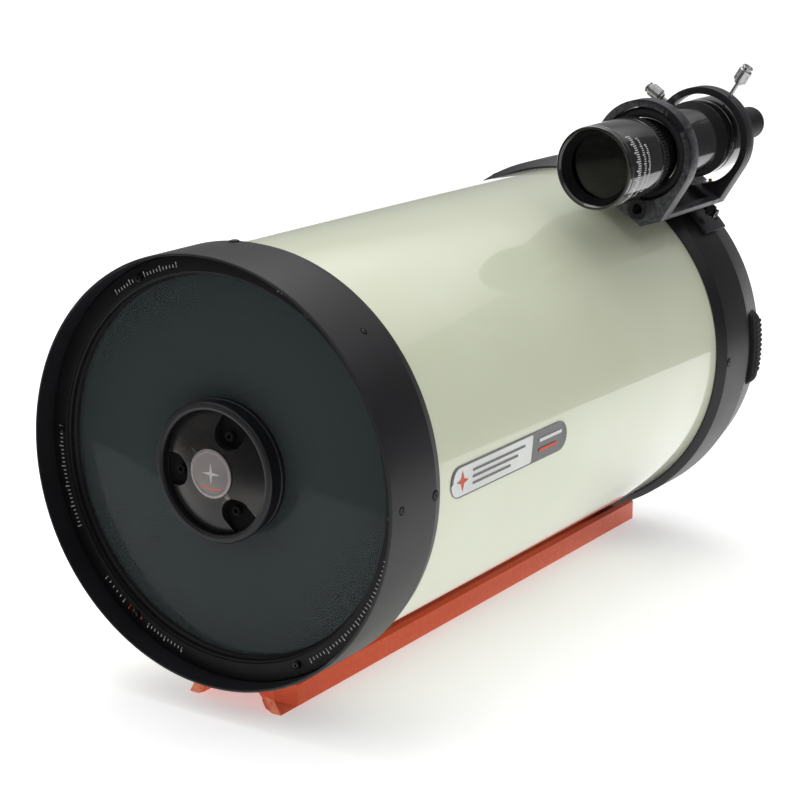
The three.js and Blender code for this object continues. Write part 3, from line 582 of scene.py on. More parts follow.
silvered = finish("silvered_glass", srgb(186, 192, 200), srgb(180, 187, 196), (0.01, 0.03),
                  metallic=1.0, grain=30.0, bump=0.005)
corrector_glass = lens_glass("corrector_glass", (0.185, 0.225, 0.225), 1.15, 0.02, clear=0.85)
lens_coated = lens_glass("coated_lens", (0.5, 0.52, 0.56), 1.3, 0.01)
white_ink = finish("white_ink", srgb(205, 206, 206), srgb(188, 190, 190), (0.5, 0.6), grain=2500.0,
                   bump=0.1)
orange_ink = finish("orange_ink", srgb(216, 84, 48), srgb(200, 74, 40), (0.45, 0.55), grain=2500.0,
                    bump=0.1)
badge_silver = finish("badge_silver", srgb(212, 214, 210), srgb(200, 202, 200), (0.25, 0.34),
                      grain=2500.0, bump=0.06, coat=0.6, coat_rough=0.08)
badge_dark = finish("badge_dark", srgb(36, 36, 40), srgb(44, 44, 48), (0.25, 0.34), grain=2500.0,
                    bump=0.06, coat=0.6, coat_rough=0.08)
badge_grey = finish("round_plate_grey", srgb(92, 88, 88), srgb(112, 106, 104), (0.25, 0.34), grain=2500.0,
                    bump=0.06, coat=0.5, coat_rough=0.08)
dish_satin = finish("dish_satin", srgb(50, 49, 49), srgb(60, 58, 57), (0.22, 0.3), metallic=0.8,
                      grain=2500.0, bump=0.2, wear=srgb(110, 106, 102))


plate_rim = finish("round_plate_rim", srgb(168, 156, 156), srgb(150, 140, 140), (0.22, 0.3),
                   metallic=0.7, grain=2500.0, bump=0.06)
dish_ink = finish("plate_star_ink", srgb(176, 172, 170), srgb(160, 156, 154), (0.3, 0.4), grain=2500.0,
                  bump=0.06)


# ---------------------------------------------------------------- shared small pieces
def socket_head(radius, height, hexagon=None, across=1.4, shank=None, dome=0.0):
    """A screw head along Y, its top at -Y, with a hexagon socket."""
    profile = rounded([(0, 0, 0), (radius * 0.62, 0, 0), (radius, dome, radius * 0.18),
                       (radius, height, 0.15), (0, height, 0)])
    head = mesh_object("head", lathe(profile, 32))
    if hexagon:
        hole = bmesh.new()
        bmesh.ops.create_cone(hole, cap_ends=True, segments=6, radius1=hexagon, radius2=hexagon,
                              depth=across * 2)
        turned_by(hole, Matrix.Rotation(math.pi / 2, 4, "X"))
        cut(head, mesh_object("hole", hole))
    return head


def thumbscrew(name, shank, reach, head, length, ridges=30, knurl=0.7, finish_used=None):
    """A knurled thumbscrew along +Y with its tip at 0."""
    body = lathe(rounded([
        (0, 0, 0), (shank * 0.75, 0, 0), (shank, 0.5, 0.2), (shank, reach - 1.2, 0.2),
        (head * 0.62, reach - 0.6, 0.3), (head * 0.62, reach + 1.0, 0.3), (head - 0.45, reach + 1.3, 0.3),
        (head - 0.45, reach + length - 3.2, 0.2), (head * 0.7, reach + length - 2.6, 0.3),
        (head * 0.7, reach + length - 1.6, 0.3), (head - 0.9, reach + length - 1.2, 0.3),
        (head - 1.1, reach + length, 0.5), (head * 0.35, reach + length, 0.3),
        (head * 0.3, reach + length - 0.8, 0.1), (0, reach + length - 0.8, 0),
    ]), 48)
    obj = mesh_object(name, body)
    middle = reach + 1.3 + (length - 4.5) / 2
    return ridged(obj, count=ridges, radius=head - 0.45, depth=knurl, width=0.5, length=length - 5.2,
                  position=middle, first_angle=0.0, step=360.0 / ridges, finish=finish_used or chrome)


# ---------------------------------------------------------------- front cell and corrector
cell_back = row_y("front_cell")[1]
ring_front, ring_back = row_y("corrector_retaining_ring")
corrector_front, corrector_back = row_y("corrector_plate")
tube_front, tube_back = row_y("main_tube")

front_cell = mesh_object("front_cell_casting", lathe(rounded([
    (135.7, 0.05, 0.3), (136.75, 0.0, 0.4), (137.5, 0.9, 0.6), (137.5, cell_back - 7.8, 1.2),
    (135.4, cell_back - 0.4, 0.5), (134.9, cell_back, 0.3), (132.3, cell_back, 0.2),
    (132.3, tube_front - 0.3, 0), (121.7, tube_front - 0.3, 0), (121.7, corrector_back + 1.3, 0),
    (126.3, corrector_back + 1.3, 0), (126.3, ring_front + 6.4, 0), (135.3, ring_front + 6.4, 0),
]), 256))
place(front_cell, OTA, "ota", [satin_black], ["front_cell"])

retaining_ring = mesh_object("retaining_ring", lathe(rounded([
    (123.6, ring_front, 0.5), (134.9, ring_front, 0.5), (134.9, ring_front + 6.0, 0),
    (126.0, ring_front + 6.0, 0), (126.0, ring_back, 0), (120.7, ring_back, 0),
    (120.7, corrector_front - 2.6, 0.4), (121.9, corrector_front - 4.4, 0.3),
    (122.3, ring_front + 2.2, 0.3), (123.3, ring_front + 1.6, 0.2),
]), 256))
place(retaining_ring, OTA, "ota", [ring_black], ["corrector_retaining_ring"])

ring_screw = socket_head(2.4, 1.9, hexagon=1.15, across=1.2, dome=0.25)
ring_screws = ridged(ring_screw, COPIES, count=6, radius=128.0, first_angle=57.0, step=60.0,
                     finish=blackened)
ring_screws.name = "retaining_ring_screws"
place(ring_screws, OTA @ Matrix.Translation((0, row_y("ring_screw_1")[0], 0)), "ota", [blackened],
      ["ring_screw_%d" % i for i in range(1, 7)])

corrector = mesh_object("corrector_glass_plate", lathe(rounded([
    (36.5, corrector_front, 0.2), (126.0, corrector_front, 0.3), (126.0, corrector_back, 0.3),
    (36.5, corrector_back, 0.2),
]), 256))
place(corrector, OTA, "ota", [corrector_glass], ["corrector_plate"])


def arc_marks(name, first, last, count, radius, y, finish_used, long_every=5):
    """A row of fine engraved graduations on a face square to the axis."""
    step = (last - first) / (count - 1)
    marks = mesh_object(name, bmesh.new())
    ridged(marks, count=count, radius=radius, depth=1.9, width=0.42, length=0.12, position=y,
           first_angle=first, step=step, finish=finish_used)
    longer = mesh_object(name + "_long", bmesh.new())
    ridged(longer, count=(count - 1) // long_every + 1, radius=radius + 0.5, depth=3.4, width=0.6,
           length=0.12, position=y, first_angle=first, step=step * long_every, finish=finish_used)
    bm = bmesh.new()
    bm.from_mesh(marks.data)
    bm.from_mesh(longer.data)
    bpy.data.objects.remove(longer)
    bm.to_mesh(marks.data)
    bm.free()
    return marks


SCALES = [(103, 127, 21, white_ink), (43, 68, 21, white_ink), (-58, -16, 31, white_ink),
          (-137, -128.5, 6, white_ink), (-126, -121, 4, orange_ink), (-118, -105, 11, white_ink),
          (176, 206, 26, white_ink)]
for number, (first, last, count, ink) in enumerate(SCALES):
    marks = arc_marks("ring_scale_%d" % (number + 1), first, last, count, 128.2, 0.0, ink)
    place(marks, OTA @ Matrix.Translation((0, ring_front - 0.05, 0)), "ota", [ink],
          smooth=None)

# Screws let into the side of the front cell and the rear cell.
side_screws = []
for angle, y, radius, head, hexagon, out in [
        (93.0, 44.3, 137.5, 3.3, 1.5, 1.1), (45.0, 31.5, 137.5, 1.7, 0.8, 0.5),
        (0.0, 46.6, 137.5, 2.6, 1.4, 0.4), (-1.2, 452.0, 138.0, 2.7, 1.3, 0.5),
        (0.0, 10.8, 137.5, 2.0, 1.2, 0.4), (180.0, 46.6, 137.5, 2.6, 1.4, 0.3),
        (-135.0, 31.5, 137.5, 1.7, 0.8, 0.5), (119.0, 452.0, 138.0, 2.7, 1.3, 0.5),
        (-121.0, 452.0, 138.0, 2.7, 1.3, 0.5)]:
    screw = socket_head(head, 2.2, hexagon=hexagon, across=1.3, dome=0.35)
    # Each head gets a thin flat black ring that stands 0.05 mm proud of the cell round it: a painted shadow
    # for the shaded gap of its seat.
    seat_shadow_ring = mesh_object("seat_shadow_ring", lathe(rounded([
        (head + 0.05, out - 0.05, 0), (head + 0.75, out - 0.05, 0.02), (head + 0.75, out + 1.0, 0),
        (head + 0.05, out + 1.0, 0)]), 32))
    paint(seat_shadow_ring, lambda c: True)
    turn = Matrix.Rotation(math.radians(90 - angle), 4, "Y") @ Matrix.Translation((0, y, radius + out))
    for piece in (screw, seat_shadow_ring):
        piece.data.transform(turn @ Matrix.Rotation(math.radians(-90), 4, "X"))
        side_screws.append(piece)
bm = bmesh.new()
for screw in side_screws:
    bm.from_mesh(screw.data)
    bpy.data.objects.remove(screw)
place(mesh_object("cell_side_screws", bm), OTA, "ota", [blackened, flat_black_and_painted_shade])

# ---------------------------------------------------------------- secondary assembly
ring_y = row_y("secondary_front_ring")
housing_y = row_y("secondary_housing")
baffle_y = row_y("secondary_baffle")
dish_y = row_y("secondary_cell")

front_ring = mesh_object("secondary_ring_turned", lathe(rounded([
    (39.6, ring_y[0] + 0.7, 0.5), (41.2, ring_y[0], 0.7), (43.8, ring_y[0], 0.8),
    (44.9, ring_y[0] + 1.2, 0.7),
    (44.9, ring_y[1], 0.2), (39.6, ring_y[1], 0.2),
]), 128))
place(front_ring, OTA, "secondary_ring", [cell_black], ["secondary_front_ring"])

housing = mesh_object("secondary_housing_turned", lathe(rounded([
    (39.3, housing_y[0], 0.2), (44.3, housing_y[0], 0.3), (44.3, 17.6, 0.3), (43.6, 18.2, 0.3),
    (43.6, 20.6, 0.3), (44.3, 21.2, 0.3), (44.3, corrector_front - 0.3, 0.3),
    (36.2, corrector_front - 0.3, 0),
    (36.2, housing_y[1], 0.3), (33.5, housing_y[1], 0), (33.5, 22.3, 0), (39.3, 22.3, 0),
]), 128))
place(housing, OTA, "ota", [satin_black], ["secondary_housing"])

baffle = mesh_object("secondary_baffle_cone", lathe(rounded([
    (36.5, baffle_y[0], 0.2), (44.0, baffle_y[0], 0.4), (44.0, baffle_y[0] + 3.5, 0.3),
    (41.4, baffle_y[0] + 3.6, 0.3), (40.2, baffle_y[1], 0.2), (39.0, baffle_y[1], 0.2),
    (40.1, baffle_y[0] + 5, 0), (36.5, baffle_y[0] + 5, 0),
]), 128))
place(baffle, OTA, "ota", [flat_black_and_painted_shade], ["secondary_baffle"])

dish = mesh_object("secondary_dish", lathe(rounded([
    (0, dish_y[0], 0), (16.2, dish_y[0], 0.4),
    *[(r, dish_y[0] + 0.4 + 4.8 * ((r - 20) / 18.9) ** 1.35, 0) for r in (20, 22, 24, 26, 28, 30, 32, 34,
    36)],
    (38.9, dish_y[0] + 5.2, 0.2), (38.9, dish_y[1], 0.2), (0, dish_y[1], 0),
]), 128))
cutters = []
for k in range(3):
    x, z = polar(29.6, 65 - 120 * k)
    slot = [(29.6 + a, b) for a, b in (polar(10.5, 90 + 180 * i / 32) for i in range(33))]
    slot += [(40.0, -10.5), (40.0, 10.5)]
    turn = Matrix.Rotation(math.radians(65 - 120 * k), 2)
    cutters.append(mesh_object("scallop", prism([tuple(turn @ Vector(q)) for q in slot], 0, 15.3)))
cut(dish, *cutters)


def in_scallop_shade(c):
    for k in range(3):
        u, v = Matrix.Rotation(math.radians(120 * k - 65), 2) @ Vector((c.x, c.z))
        if abs(v) < 10.6 and (u >= 29.6 or math.hypot(u - 29.6, v) < 10.6):
            return True
    return False


# The dish faces inside the scallops get the flat black: painted shade, so that the scallops read as dark
# hollows in the satin dish.
paint(dish, in_scallop_shade)
place(dish, OTA, "ota", [dish_satin, flat_black_and_painted_shade], ["secondary_cell"], smooth=20)

for k in range(3):
    x, z = polar(27, 65 - 120 * k)
    node = "collimation_screw_%d" % (k + 1)
    screw = socket_head(3.1, 3.4, hexagon=1.6, across=2.0)
    screw.name = "collimation_screw_head_%d" % (k + 1)
    place(screw, OTA @ Matrix.Translation((x, row_y(node)[0], z)), "collimator_%d" % (k + 1),
          [flat_black_and_painted_shade], [node])


def star(long, short, points, y0, y1):
    outline = []
    for k in range(points * 2):
        outline.append(polar(long if k % 2 == 0 else short, 90 + 180 * k / points))
    return prism(outline, y0, y1)


badge_y = row_y("secondary_badge")
badge = mesh_object("secondary_round_plate", lathe(rounded([
    (0, badge_y[0] + 0.1, 0), (10.5, badge_y[0] + 0.1, 0.3), (13.4, badge_y[0] + 0.15, 0.2),
    (13.7, badge_y[0], 0.1), (15.0, badge_y[0], 0.3), (15.8, badge_y[0] + 0.3, 0.2),
    (15.8, badge_y[1], 0), (0, badge_y[1], 0),
]), 96))
paint(badge, lambda c: 13.9 < math.hypot(c.x, c.z) < 15.2)
paint(badge, lambda c: math.hypot(c.x, c.z) >= 15.5, 2)
place(badge, OTA, "ota", [badge_grey, plate_rim, flat_black_and_painted_shade], ["secondary_badge"])
inlay = mesh_object("secondary_plate_star", star(7.0, 1.5, 4, badge_y[0] + 0.02, badge_y[0] + 0.12))
place(inlay, OTA, "ota", [dish_ink], smooth=None)
rule = mesh_object("secondary_plate_rule", prism([(-8.5, -9.6), (8.5, -9.6), (8.0, -8.8), (-8.0, -8.8)],
                                                 badge_y[0] + 0.02, badge_y[0] + 0.12))
place(rule, OTA, "ota", [orange_ink], smooth=None)

# ---------------------------------------------------------------- main tube and its side plate
tube = paint(mesh_object("main_tube_painted", lathe(rounded([
    (129.6, tube_front, 0.2), (132.0, tube_front, 0.3), (132.0, tube_back, 0.3), (129.6, tube_back, 0.2),
]), 320)), lambda c: math.hypot(c.x, c.z) < 131)
place(tube, OTA, "ota", [pearl_paint, flat_black_and_painted_shade], ["main_tube"])


def side_patch(name, outline, radius, thick, finish_used, nodes=()):
    """A thin plate bent round the tube; the outline is in (y, height) round the tube."""
    bm = bmesh.new()
    loops = [[], []]
    for y, height in outline:
        angle = height / radius
        for loop, r in zip(loops, (radius, radius + thick)):
            loop.append(bm.verts.new((r * math.cos(angle), y, r * math.sin(angle))))
    bm.faces.new(loops[1])
    bm.faces.new(loops[0][::-1])
    for i in range(len(outline)):
        j = (i + 1) % len(outline)
        bm.faces.new((loops[0][i], loops[0][j], loops[1][j], loops[1][i]))
    bmesh.ops.triangulate(bm, faces=[f for f in bm.faces if len(f.verts) > 4])
    bmesh.ops.recalc_face_normals(bm, faces=bm.faces)
    return place(mesh_object(name, bm), OTA, "ota", [finish_used], nodes, smooth=30)


def strip(y0, y1, z0, z1, radius=0.0, left=None, right=None, steps=8, slant=0.0):
    """A rounded rectangle with enough points along its ends to bend round the tube."""
    left = radius if left is None else left
    right = radius if right is None else right
    out = []
    for y, z, r, first in ((y0, z0, left, 180), (y1, z0, right, 270), (y1, z1, right, 0), (y0, z1, left, 90)):
        cy = y + r if y == y0 else y - r
        cz = z + r if z == z0 else z - r
        lean = slant * (z - (z0 + z1) / 2)
        for k in range(steps + 1 if r else 1):
            a, b = polar(r, first + 90 * k / steps if r else first)
            out.append((cy + a + lean, cz + b))
    return out


badge_front, badge_back = row_y("tube_badge")
low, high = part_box("tube_badge")
badge_mid = ((low.z + high.z) / 2 - axis_z) / MM
half = (high.z - low.z) / MM / 2
plate_r = 132.3
side_patch("side_plate", strip(badge_front, badge_back, badge_mid - half, badge_mid + half, half - 0.3),
           plate_r, 0.45, badge_dark, ["tube_badge"])
split = badge_front + 97
side_patch("side_plate_field", strip(badge_front + 1.0, split, badge_mid - half + 1.0, badge_mid + half - 1.0,
                                     left=half - 1.5, right=1.6, slant=0.12),
                                     plate_r + 0.45, 0.08, badge_silver)
side_patch("side_plate_line", strip(split + 9, badge_back - 7, badge_mid + 2.2, badge_mid + 4.4, 0.4),
           plate_r + 0.45, 0.08, badge_silver)
side_patch("side_plate_line_orange", strip(split + 9, badge_back - 13, badge_mid - 4.4, badge_mid - 2.2, 0.4),
           plate_r + 0.45, 0.08, orange_ink)
star_points = []
for k in range(8):
    a, b = polar(6.6 if k % 2 == 0 else 2.1, 90 + 45 * k)
    star_points.append((badge_front + 13 + a, badge_mid + b))
side_patch("side_plate_star", star_points[::-1], plate_r + 0.53, 0.06, orange_ink)
for number in range(3):
    z = badge_mid + 4.2 - number * 4.2
    side_patch("side_plate_bar_%d" % (number + 1),
               strip(badge_front + 25, split - 9 - 9 * number, z - 0.75, z + 0.75, 0.3, slant=0.12),
               plate_r + 0.53, 0.06, badge_dark)

# ---------------------------------------------------------------- inside the tube
primary = mesh_object("primary_mirror_ground", lathe([
    (30.0, 434.0)] + [(r, 428 + 6.4 * (1 - (r / 118) ** 2)) for r in range(34, 118, 6)] + [
    (117.4, 428.05), (118, 428.6), (118, 450), (30.0, 450)], 256))
place(primary, OTA, "mirror", [silvered], ["primary_mirror"])
baffle_front, baffle_back = row_y("baffle_tube")
tube_baffle = mesh_object("baffle_tube_turned", lathe(rounded([
    (22.8, baffle_back, 0.2), (22.8, 385, 0), (20.3, baffle_front, 0.1), (21.5, baffle_front, 0.3),
    (25, 385, 0), (25, 498, 0), (27, 498, 0.2), (27, baffle_back, 0.2),
]), 96))
place(tube_baffle, OTA, "ota", [flat_black_and_painted_shade], ["baffle_tube"])

# ---------------------------------------------------------------- rear cell and what is on it
rear_front, rear_back = row_y("rear_cell")
rear_cell = mesh_object("rear_cell_casting", lathe(rounded([
    (132.3, 441.9, 0), (133.3, 441.9, 0.3), (138.0, 448.8, 0.6), (138.0, 486.5, 0.8), (132.0, 516.0, 1.2),
    (129.0, 519.0, 0.5), (126.5, 519.0, 0), (124.5, 519.0, 0),
    (50.5, 519.0, 0), (48.5, 519.0, 0), (45.5, 519.0, 0.8), (44.0, 520.2, 0.8), (44.0, rear_back, 0.8),
    (27.3, rear_back, 0.3), (27.3, 501, 0), (40, 501, 0), (40, 510, 2), (126, 510, 2), (126, 459.9, 0),
    (132.3, 459.9, 0),
]), 256))
place(rear_cell, OTA, "ota", [cell_black], ["rear_cell"])

grip_low, grip_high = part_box("side_grip")
GRIP_Y0, GRIP_Y1 = row_y("side_grip")


def grip_surface(angle, across):
    """Outer radius of the grip at an angle, and at a share across its width."""
    ends = min(max((angle + 13.5) / 4.0, 0.0), 1.0) * min(max((11.6 - angle) / 3.5, 0.0), 1.0)
    crown = 1 - (2 * across - 1) ** 4 * 0.25
    return 133.6 + 7.2 * math.sin(ends * math.pi / 2) ** 0.7 * crown


bm = bmesh.new()
rows = []
angles = [-13.6 + 25.4 * k / 40 for k in range(41)]
for angle in angles:
    row = []
    for k in range(13):
        share = k / 12
        row.append((angle, share))
    rows.append([bm.verts.new((grip_surface(a, s) * math.cos(math.radians(a)),
                               GRIP_Y0 + (GRIP_Y1 - GRIP_Y0) * s,
                               grip_surface(a, s) * math.sin(math.radians(a)))) for a, s in row])
for i in range(40):
    for k in range(12):
        bm.faces.new((rows[i][k], rows[i][k + 1], rows[i + 1][k + 1], rows[i + 1][k]))
rim = [rows[0][k] for k in range(13)] + [rows[i][12] for i in range(1, 41)]
rim += [rows[40][k] for k in range(11, -1, -1)] + [rows[i][0] for i in range(39, 0, -1)]
base = []
for vert in rim:
    angle = math.atan2(vert.co.z, vert.co.x)
    base.append(bm.verts.new((131.0 * math.cos(angle), vert.co.y, 131.0 * math.sin(angle))))
for i in range(len(rim)):
    j = (i + 1) % len(rim)
    bm.faces.new((rim[i], rim[j], base[j], base[i]))
bm.faces.new(base)
bmesh.ops.triangulate(bm, faces=[f for f in bm.faces if len(f.verts) > 4])
bmesh.ops.recalc_face_normals(bm, faces=bm.faces)
grip = mesh_object("side_grip_pad", bm)
ridged(grip, count=11, radius=140.35, depth=1.5, width=1.9, length=8.6,
       position=(GRIP_Y0 + GRIP_Y1) / 2 + 0.5, first_angle=-8.0, step=1.55, lean=24.0,
       finish=rubber_black)
place(grip, OTA, "ota", [rubber_black], ["side_grip"])

focus_x, focus_z = polar(70, -35)
FOCUS = OTA @ Matrix.Translation((focus_x, 0, focus_z))
bearing_y = row_y("focus_bearing")
bearing = mesh_object("focus_bearing_turned", lathe(rounded([
    (3.4, bearing_y[0], 0), (14, bearing_y[0], 0.4), (14, bearing_y[0] + 2.5, 0.4),
    (11.5, bearing_y[0] + 3.2, 0.5),
    (11.5, bearing_y[1], 0.5), (3.4, bearing_y[1], 0.2)]), 64))
place(bearing, FOCUS, "ota", [moulded_black], ["focus_bearing"])
knob_y = row_y("focus_knob")
knob = mesh_object("focus_knob_ribbed", lathe(rounded([
    (0, knob_y[0], 0), (14.8, knob_y[0], 0.8), (16.2, knob_y[0] + 1.4, 0.6), (16.2, knob_y[1] - 2.2, 1.0),
    (14.4, knob_y[1], 1.0), (12.0, knob_y[1], 0.5), (11.2, knob_y[1] - 1.0, 0.4), (0, knob_y[1] - 1.0, 0)]),
    96))
ridged(knob, count=36, radius=16.1, depth=1.7, width=1.2, length=knob_y[1] - knob_y[0] - 4.6,
       position=(knob_y[0] + knob_y[1]) / 2 - 0.2, step=10.0, finish=rubber_black)
place(knob, FOCUS, "focus", [rubber_black], ["focus_knob"])

for k, angle in enumerate((140, 250)):
    x, z = polar(82, angle)
    node = "mirror_lock_%d" % (k + 1)
    y0, y1 = row_y(node)
    lock = mesh_object("mirror_lock_knob_%d" % (k + 1), lathe(rounded([
        (0, y0, 0), (2.6, y0, 0.4), (2.6, 519.4, 0), (7.2, 519.4, 0.5), (8.3, 520.6, 0.5),
        (8.3, y1 - 1.6, 0.8),
        (7.0, y1, 0.8), (0, y1 + 0.0, 0)]), 64))
    ridged(lock, count=18, radius=8.15, depth=1.6, width=1.2, length=y1 - 519.4 - 4.6,
           position=(y1 + 519.4) / 2 - 0.2, step=20.0, finish=moulded_black)
    place(lock, OTA @ Matrix.Translation((x, 0, z)), "lock_%d" % (k + 1), [moulded_black],
          [node])

for k, angle in enumerate((60, 200)):
    x, z = polar(92, angle)
    node = "vent_%d" % (k + 1)
    y0, y1 = row_y(node)
    vent = mesh_object("vent_grille_%d" % (k + 1), lathe(rounded([
        (0, y0, 0), (13, y0, 0.3), (13, y1 - 0.6, 0.6), (12.2, y1, 0.4), (10.6, y1, 0.3),
        (10.2, y1 - 0.7, 0.2),
        (0, y1 - 0.7, 0)]), 96))
    ridged(vent, count=12, radius=6.3, depth=6.6, width=0.9, length=0.75, position=y1 - 0.45, step=30.0,
           finish=moulded_black)
    place(vent, OTA @ Matrix.Translation((x, 0, z)), "ota", [moulded_black], [node])

port_y = row_y("rear_port")
port = mesh_object("rear_port_turned", lathe(rounded([
    (22.8, port_y[0], 0.2), (40, port_y[0], 0.4), (40, port_y[0] + 3.2, 0.4), (38.6, port_y[0] + 3.6, 0.3),
    (38.6, port_y[1], 0.5), (22.8, port_y[1], 0.3)]), 128))
place(port, OTA, "ota", [satin_black], ["rear_port"])
back_y = row_y("visual_back")
visual_back = mesh_object("visual_back_turned", lathe(rounded([
    (15.95, back_y[0], 0.2), (24.5, back_y[0], 0.3), (24.5, back_y[0] + 6, 0.3), (20.0, back_y[0] + 6, 0.3),
    (20.0, back_y[1] - 0.7, 0.3), (19.3, back_y[1], 0.3), (16.8, back_y[1], 0.3),
    (15.95, back_y[1] - 0.8, 0.2)]),
    128))
place(visual_back, OTA, "ota", [satin_black], ["visual_back"])
collar_y = row_y("visual_back_collar")
collar = mesh_object("visual_back_nut", lathe(rounded([
    (24.9, collar_y[0], 0.2), (28.3, collar_y[0], 0.4), (28.3, collar_y[1] - 0.8, 0.5),
    (27.4, collar_y[1], 0.4),
    (20.4, collar_y[1], 0.3), (20.4, back_y[0] + 6.4, 0.1), (24.9, back_y[0] + 6.4, 0.1)]), 128))
ridged(collar, count=60, radius=28.2, depth=1.3, width=0.9, length=collar_y[1] - collar_y[0] - 2.6,
       position=(collar_y[0] + collar_y[1]) / 2 - 0.2, step=6.0, finish=satin_black)
place(collar, OTA, "collar", [satin_black], ["visual_back_collar"])
clamp = thumbscrew("visual_back_thumbscrew", 1.6, 8.0, 4.45, 8.0, ridges=24)
place(clamp, OTA @ Matrix.Translation((0, 553, 16.55)) @ TO_Z, "eyepiece_clamp", [chrome],
      ["visual_back_clamp"])

# ---------------------------------------------------------------- dovetail bar
bar = from_cad("dovetail_bar", "dovetail_extrusion", width=0.5, segments=3)
place(bar, Matrix.Identity(4), "ota", [orange_bar], ["dovetail_bar"])
for end in ("front", "rear"):
    pad = from_cad("radius_pad_" + end, "saddle_pad_" + end, width=0.4)
    place(pad, Matrix.Identity(4), "ota", [moulded_black], ["radius_pad_" + end])
    low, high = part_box("bar_screw_" + end)
    top = (high.z - axis_z) / MM
    bottom = (low.z - axis_z) / MM
    y = ((low.y + high.y) / 2 - cell_low.y) / MM
    head = socket_head(4.9, 3.6, hexagon=2.5, across=2.4)
    shank = lathe([(0, 3.0), (2.3, 3.0), (2.3, top - bottom), (0, top - bottom)], 24)
    bm = bmesh.new()
    bm.from_mesh(head.data)
    bpy.data.objects.remove(head)
    screw = mesh_object("bar_bolt_" + end, joined(bm, shank))
    place(screw, OTA @ Matrix.Translation((0, y, bottom)) @ TO_Z, "ota", [blackened],
          ["bar_screw_" + end])

# ---------------------------------------------------------------- finder shoe and bracket
shoe = from_cad("finder_shoe", "finder_shoe_casting", width=0.7, segments=3)
place(shoe, Matrix.Identity(4), "ota", [cell_black], ["finder_shoe"])
shoe_screws = []
for angle, y in ((43.2, 472.5), (43.2, 494.0), (72.8, 472.5), (72.8, 494.0)):
    screw = socket_head(2.5, 1.6, hexagon=1.2, across=1.0, dome=0.3)
    turn = Matrix.Rotation(math.radians(90 - angle), 4, "Y") @ Matrix.Translation((0, y, 141.9))
    screw.data.transform(turn @ Matrix.Rotation(math.radians(-90), 4, "X"))
    shoe_screws.append(screw)
bm = bmesh.new()
for screw in shoe_screws:
    bm.from_mesh(screw.data)
    bpy.data.objects.remove(screw)
place(mesh_object("finder_shoe_screws", bm), OTA, "ota", [blackened])

RING_R, BORE_R = 38.3, 33.2


def ring_plate(corners, y0, y1):
    """A plate with a round top, a bore, and straight lower edges through the corners."""
    straight = [(RING_R, 0.0)] + corners + [(-RING_R, 0.0)]
    angles = sorted({math.degrees(math.atan2(z, x)) % 360 for x, z in straight} |
                    {i * 3.0 for i in range(120)})
    outer = []
    for angle in angles:
        dx, dz = polar(1, angle)
        reach = RING_R
        if angle > 180:
            for (ax, az), (bx, bz) in zip(straight, straight[1:]):
                cross = dx * (bz - az) - dz * (bx - ax)
                if abs(cross) < 1e-9:
                    continue
                t = (ax * (bz - az) - az * (bx - ax)) / cross
                s = (ax * dz - az * dx) / cross
                if t > 0 and -1e-6 <= s <= 1 + 1e-6:
                    reach = t
                    break
        outer.append((dx * reach, dz * reach))
    inner = [polar(BORE_R, angle) for angle in angles]
    bm = bmesh.new()
    loops = []
    for points, y in ((outer, y0), (outer, y1), (inner, y1), (inner, y0)):
        loops.append([bm.verts.new((x, y, z)) for x, z in points])
    for a, b in zip(loops, loops[1:] + loops[:1]):
        for k in range(len(angles)):
            j = (k + 1) % len(angles)
            bm.faces.new((a[k], a[j], b[j], b[k]))
    bmesh.ops.recalc_face_normals(bm, faces=bm.faces)
    return bm


front_plate = mesh_object("bracket_front", ring_plate(
    [(38.3, -31.5), (28, -43.6), (-28, -43.6), (-38.3, -31.5)], 375.5, 387.5))
rear_plate = mesh_object("bracket_rear", ring_plate(
    [(38.3, -31.5), (31, -38.5), (-31, -38.5), (-38.3, -31.5)], 468.5, 480.5))
keel_outline = [(-28, -43.6), (28, -43.6), (38.3, -31.5), (38.3, -26.5), (33.0, -26.5), (33.0, -29.8),
                (-33.0, -29.8), (-33.0, -26.5), (-38.3, -26.5), (-38.3, -31.5)]
keel = mesh_object("bracket_keel", prism(keel_outline, 386.5, 458.0))
pocket = prism([(-20, -50), (20, -50), (20, -37), (-20, -37)], 391.5, 451)
cut(keel, mesh_object("pocket", pocket))
link_bar = mesh_object("bracket_link", prism([(-38.3, -31.5), (38.3, -31.5), (38.3, -26.5), (-38.3, -26.5)],
                                             457.5, 469.0))
for piece in (keel, link_bar):
    cut(piece, mesh_object("clearance", lathe([(0, 372), (BORE_R, 372), (BORE_R, 520), (0, 520)], 128)))
foot = mesh_object("bracket_foot", prism([(-16, -46), (16, -46), (12, -38.5), (12, -34), (-12, -34),
                                          (-12, -38.5)], 457, 502))
boss = mesh_object("bracket_boss", turned_by(lathe(rounded([
    (3.8, 374.9, 0.4), (7.6, 374.9, 0.7), (8.2, 375.8, 0.4), (8.2, 386, 0), (3.8, 386, 0)]), 48),
    Matrix.Translation((19.0, 0, -34.6))))
bore = mesh_object("boss_hole", turned_by(lathe([(0, 370), (3.9, 370), (3.9, 384), (0, 384)], 32),
                                          Matrix.Translation((19.0, 0, -34.6))))
cut(front_plate, bore)
parts = [front_plate, rear_plate, keel, link_bar, foot, boss]
for part in parts:
    if part is not boss:
        bevel(part, 0.8, 3, angle=40)
    evaluated(part)
bm = bmesh.new()
for part in parts:
    bm.from_mesh(part.data)
    bpy.data.objects.remove(part)
bracket = mesh_object("finder_bracket_casting", bm)
place(bracket, BRACKET, "bracket", [cell_black], ["finder_bracket"])

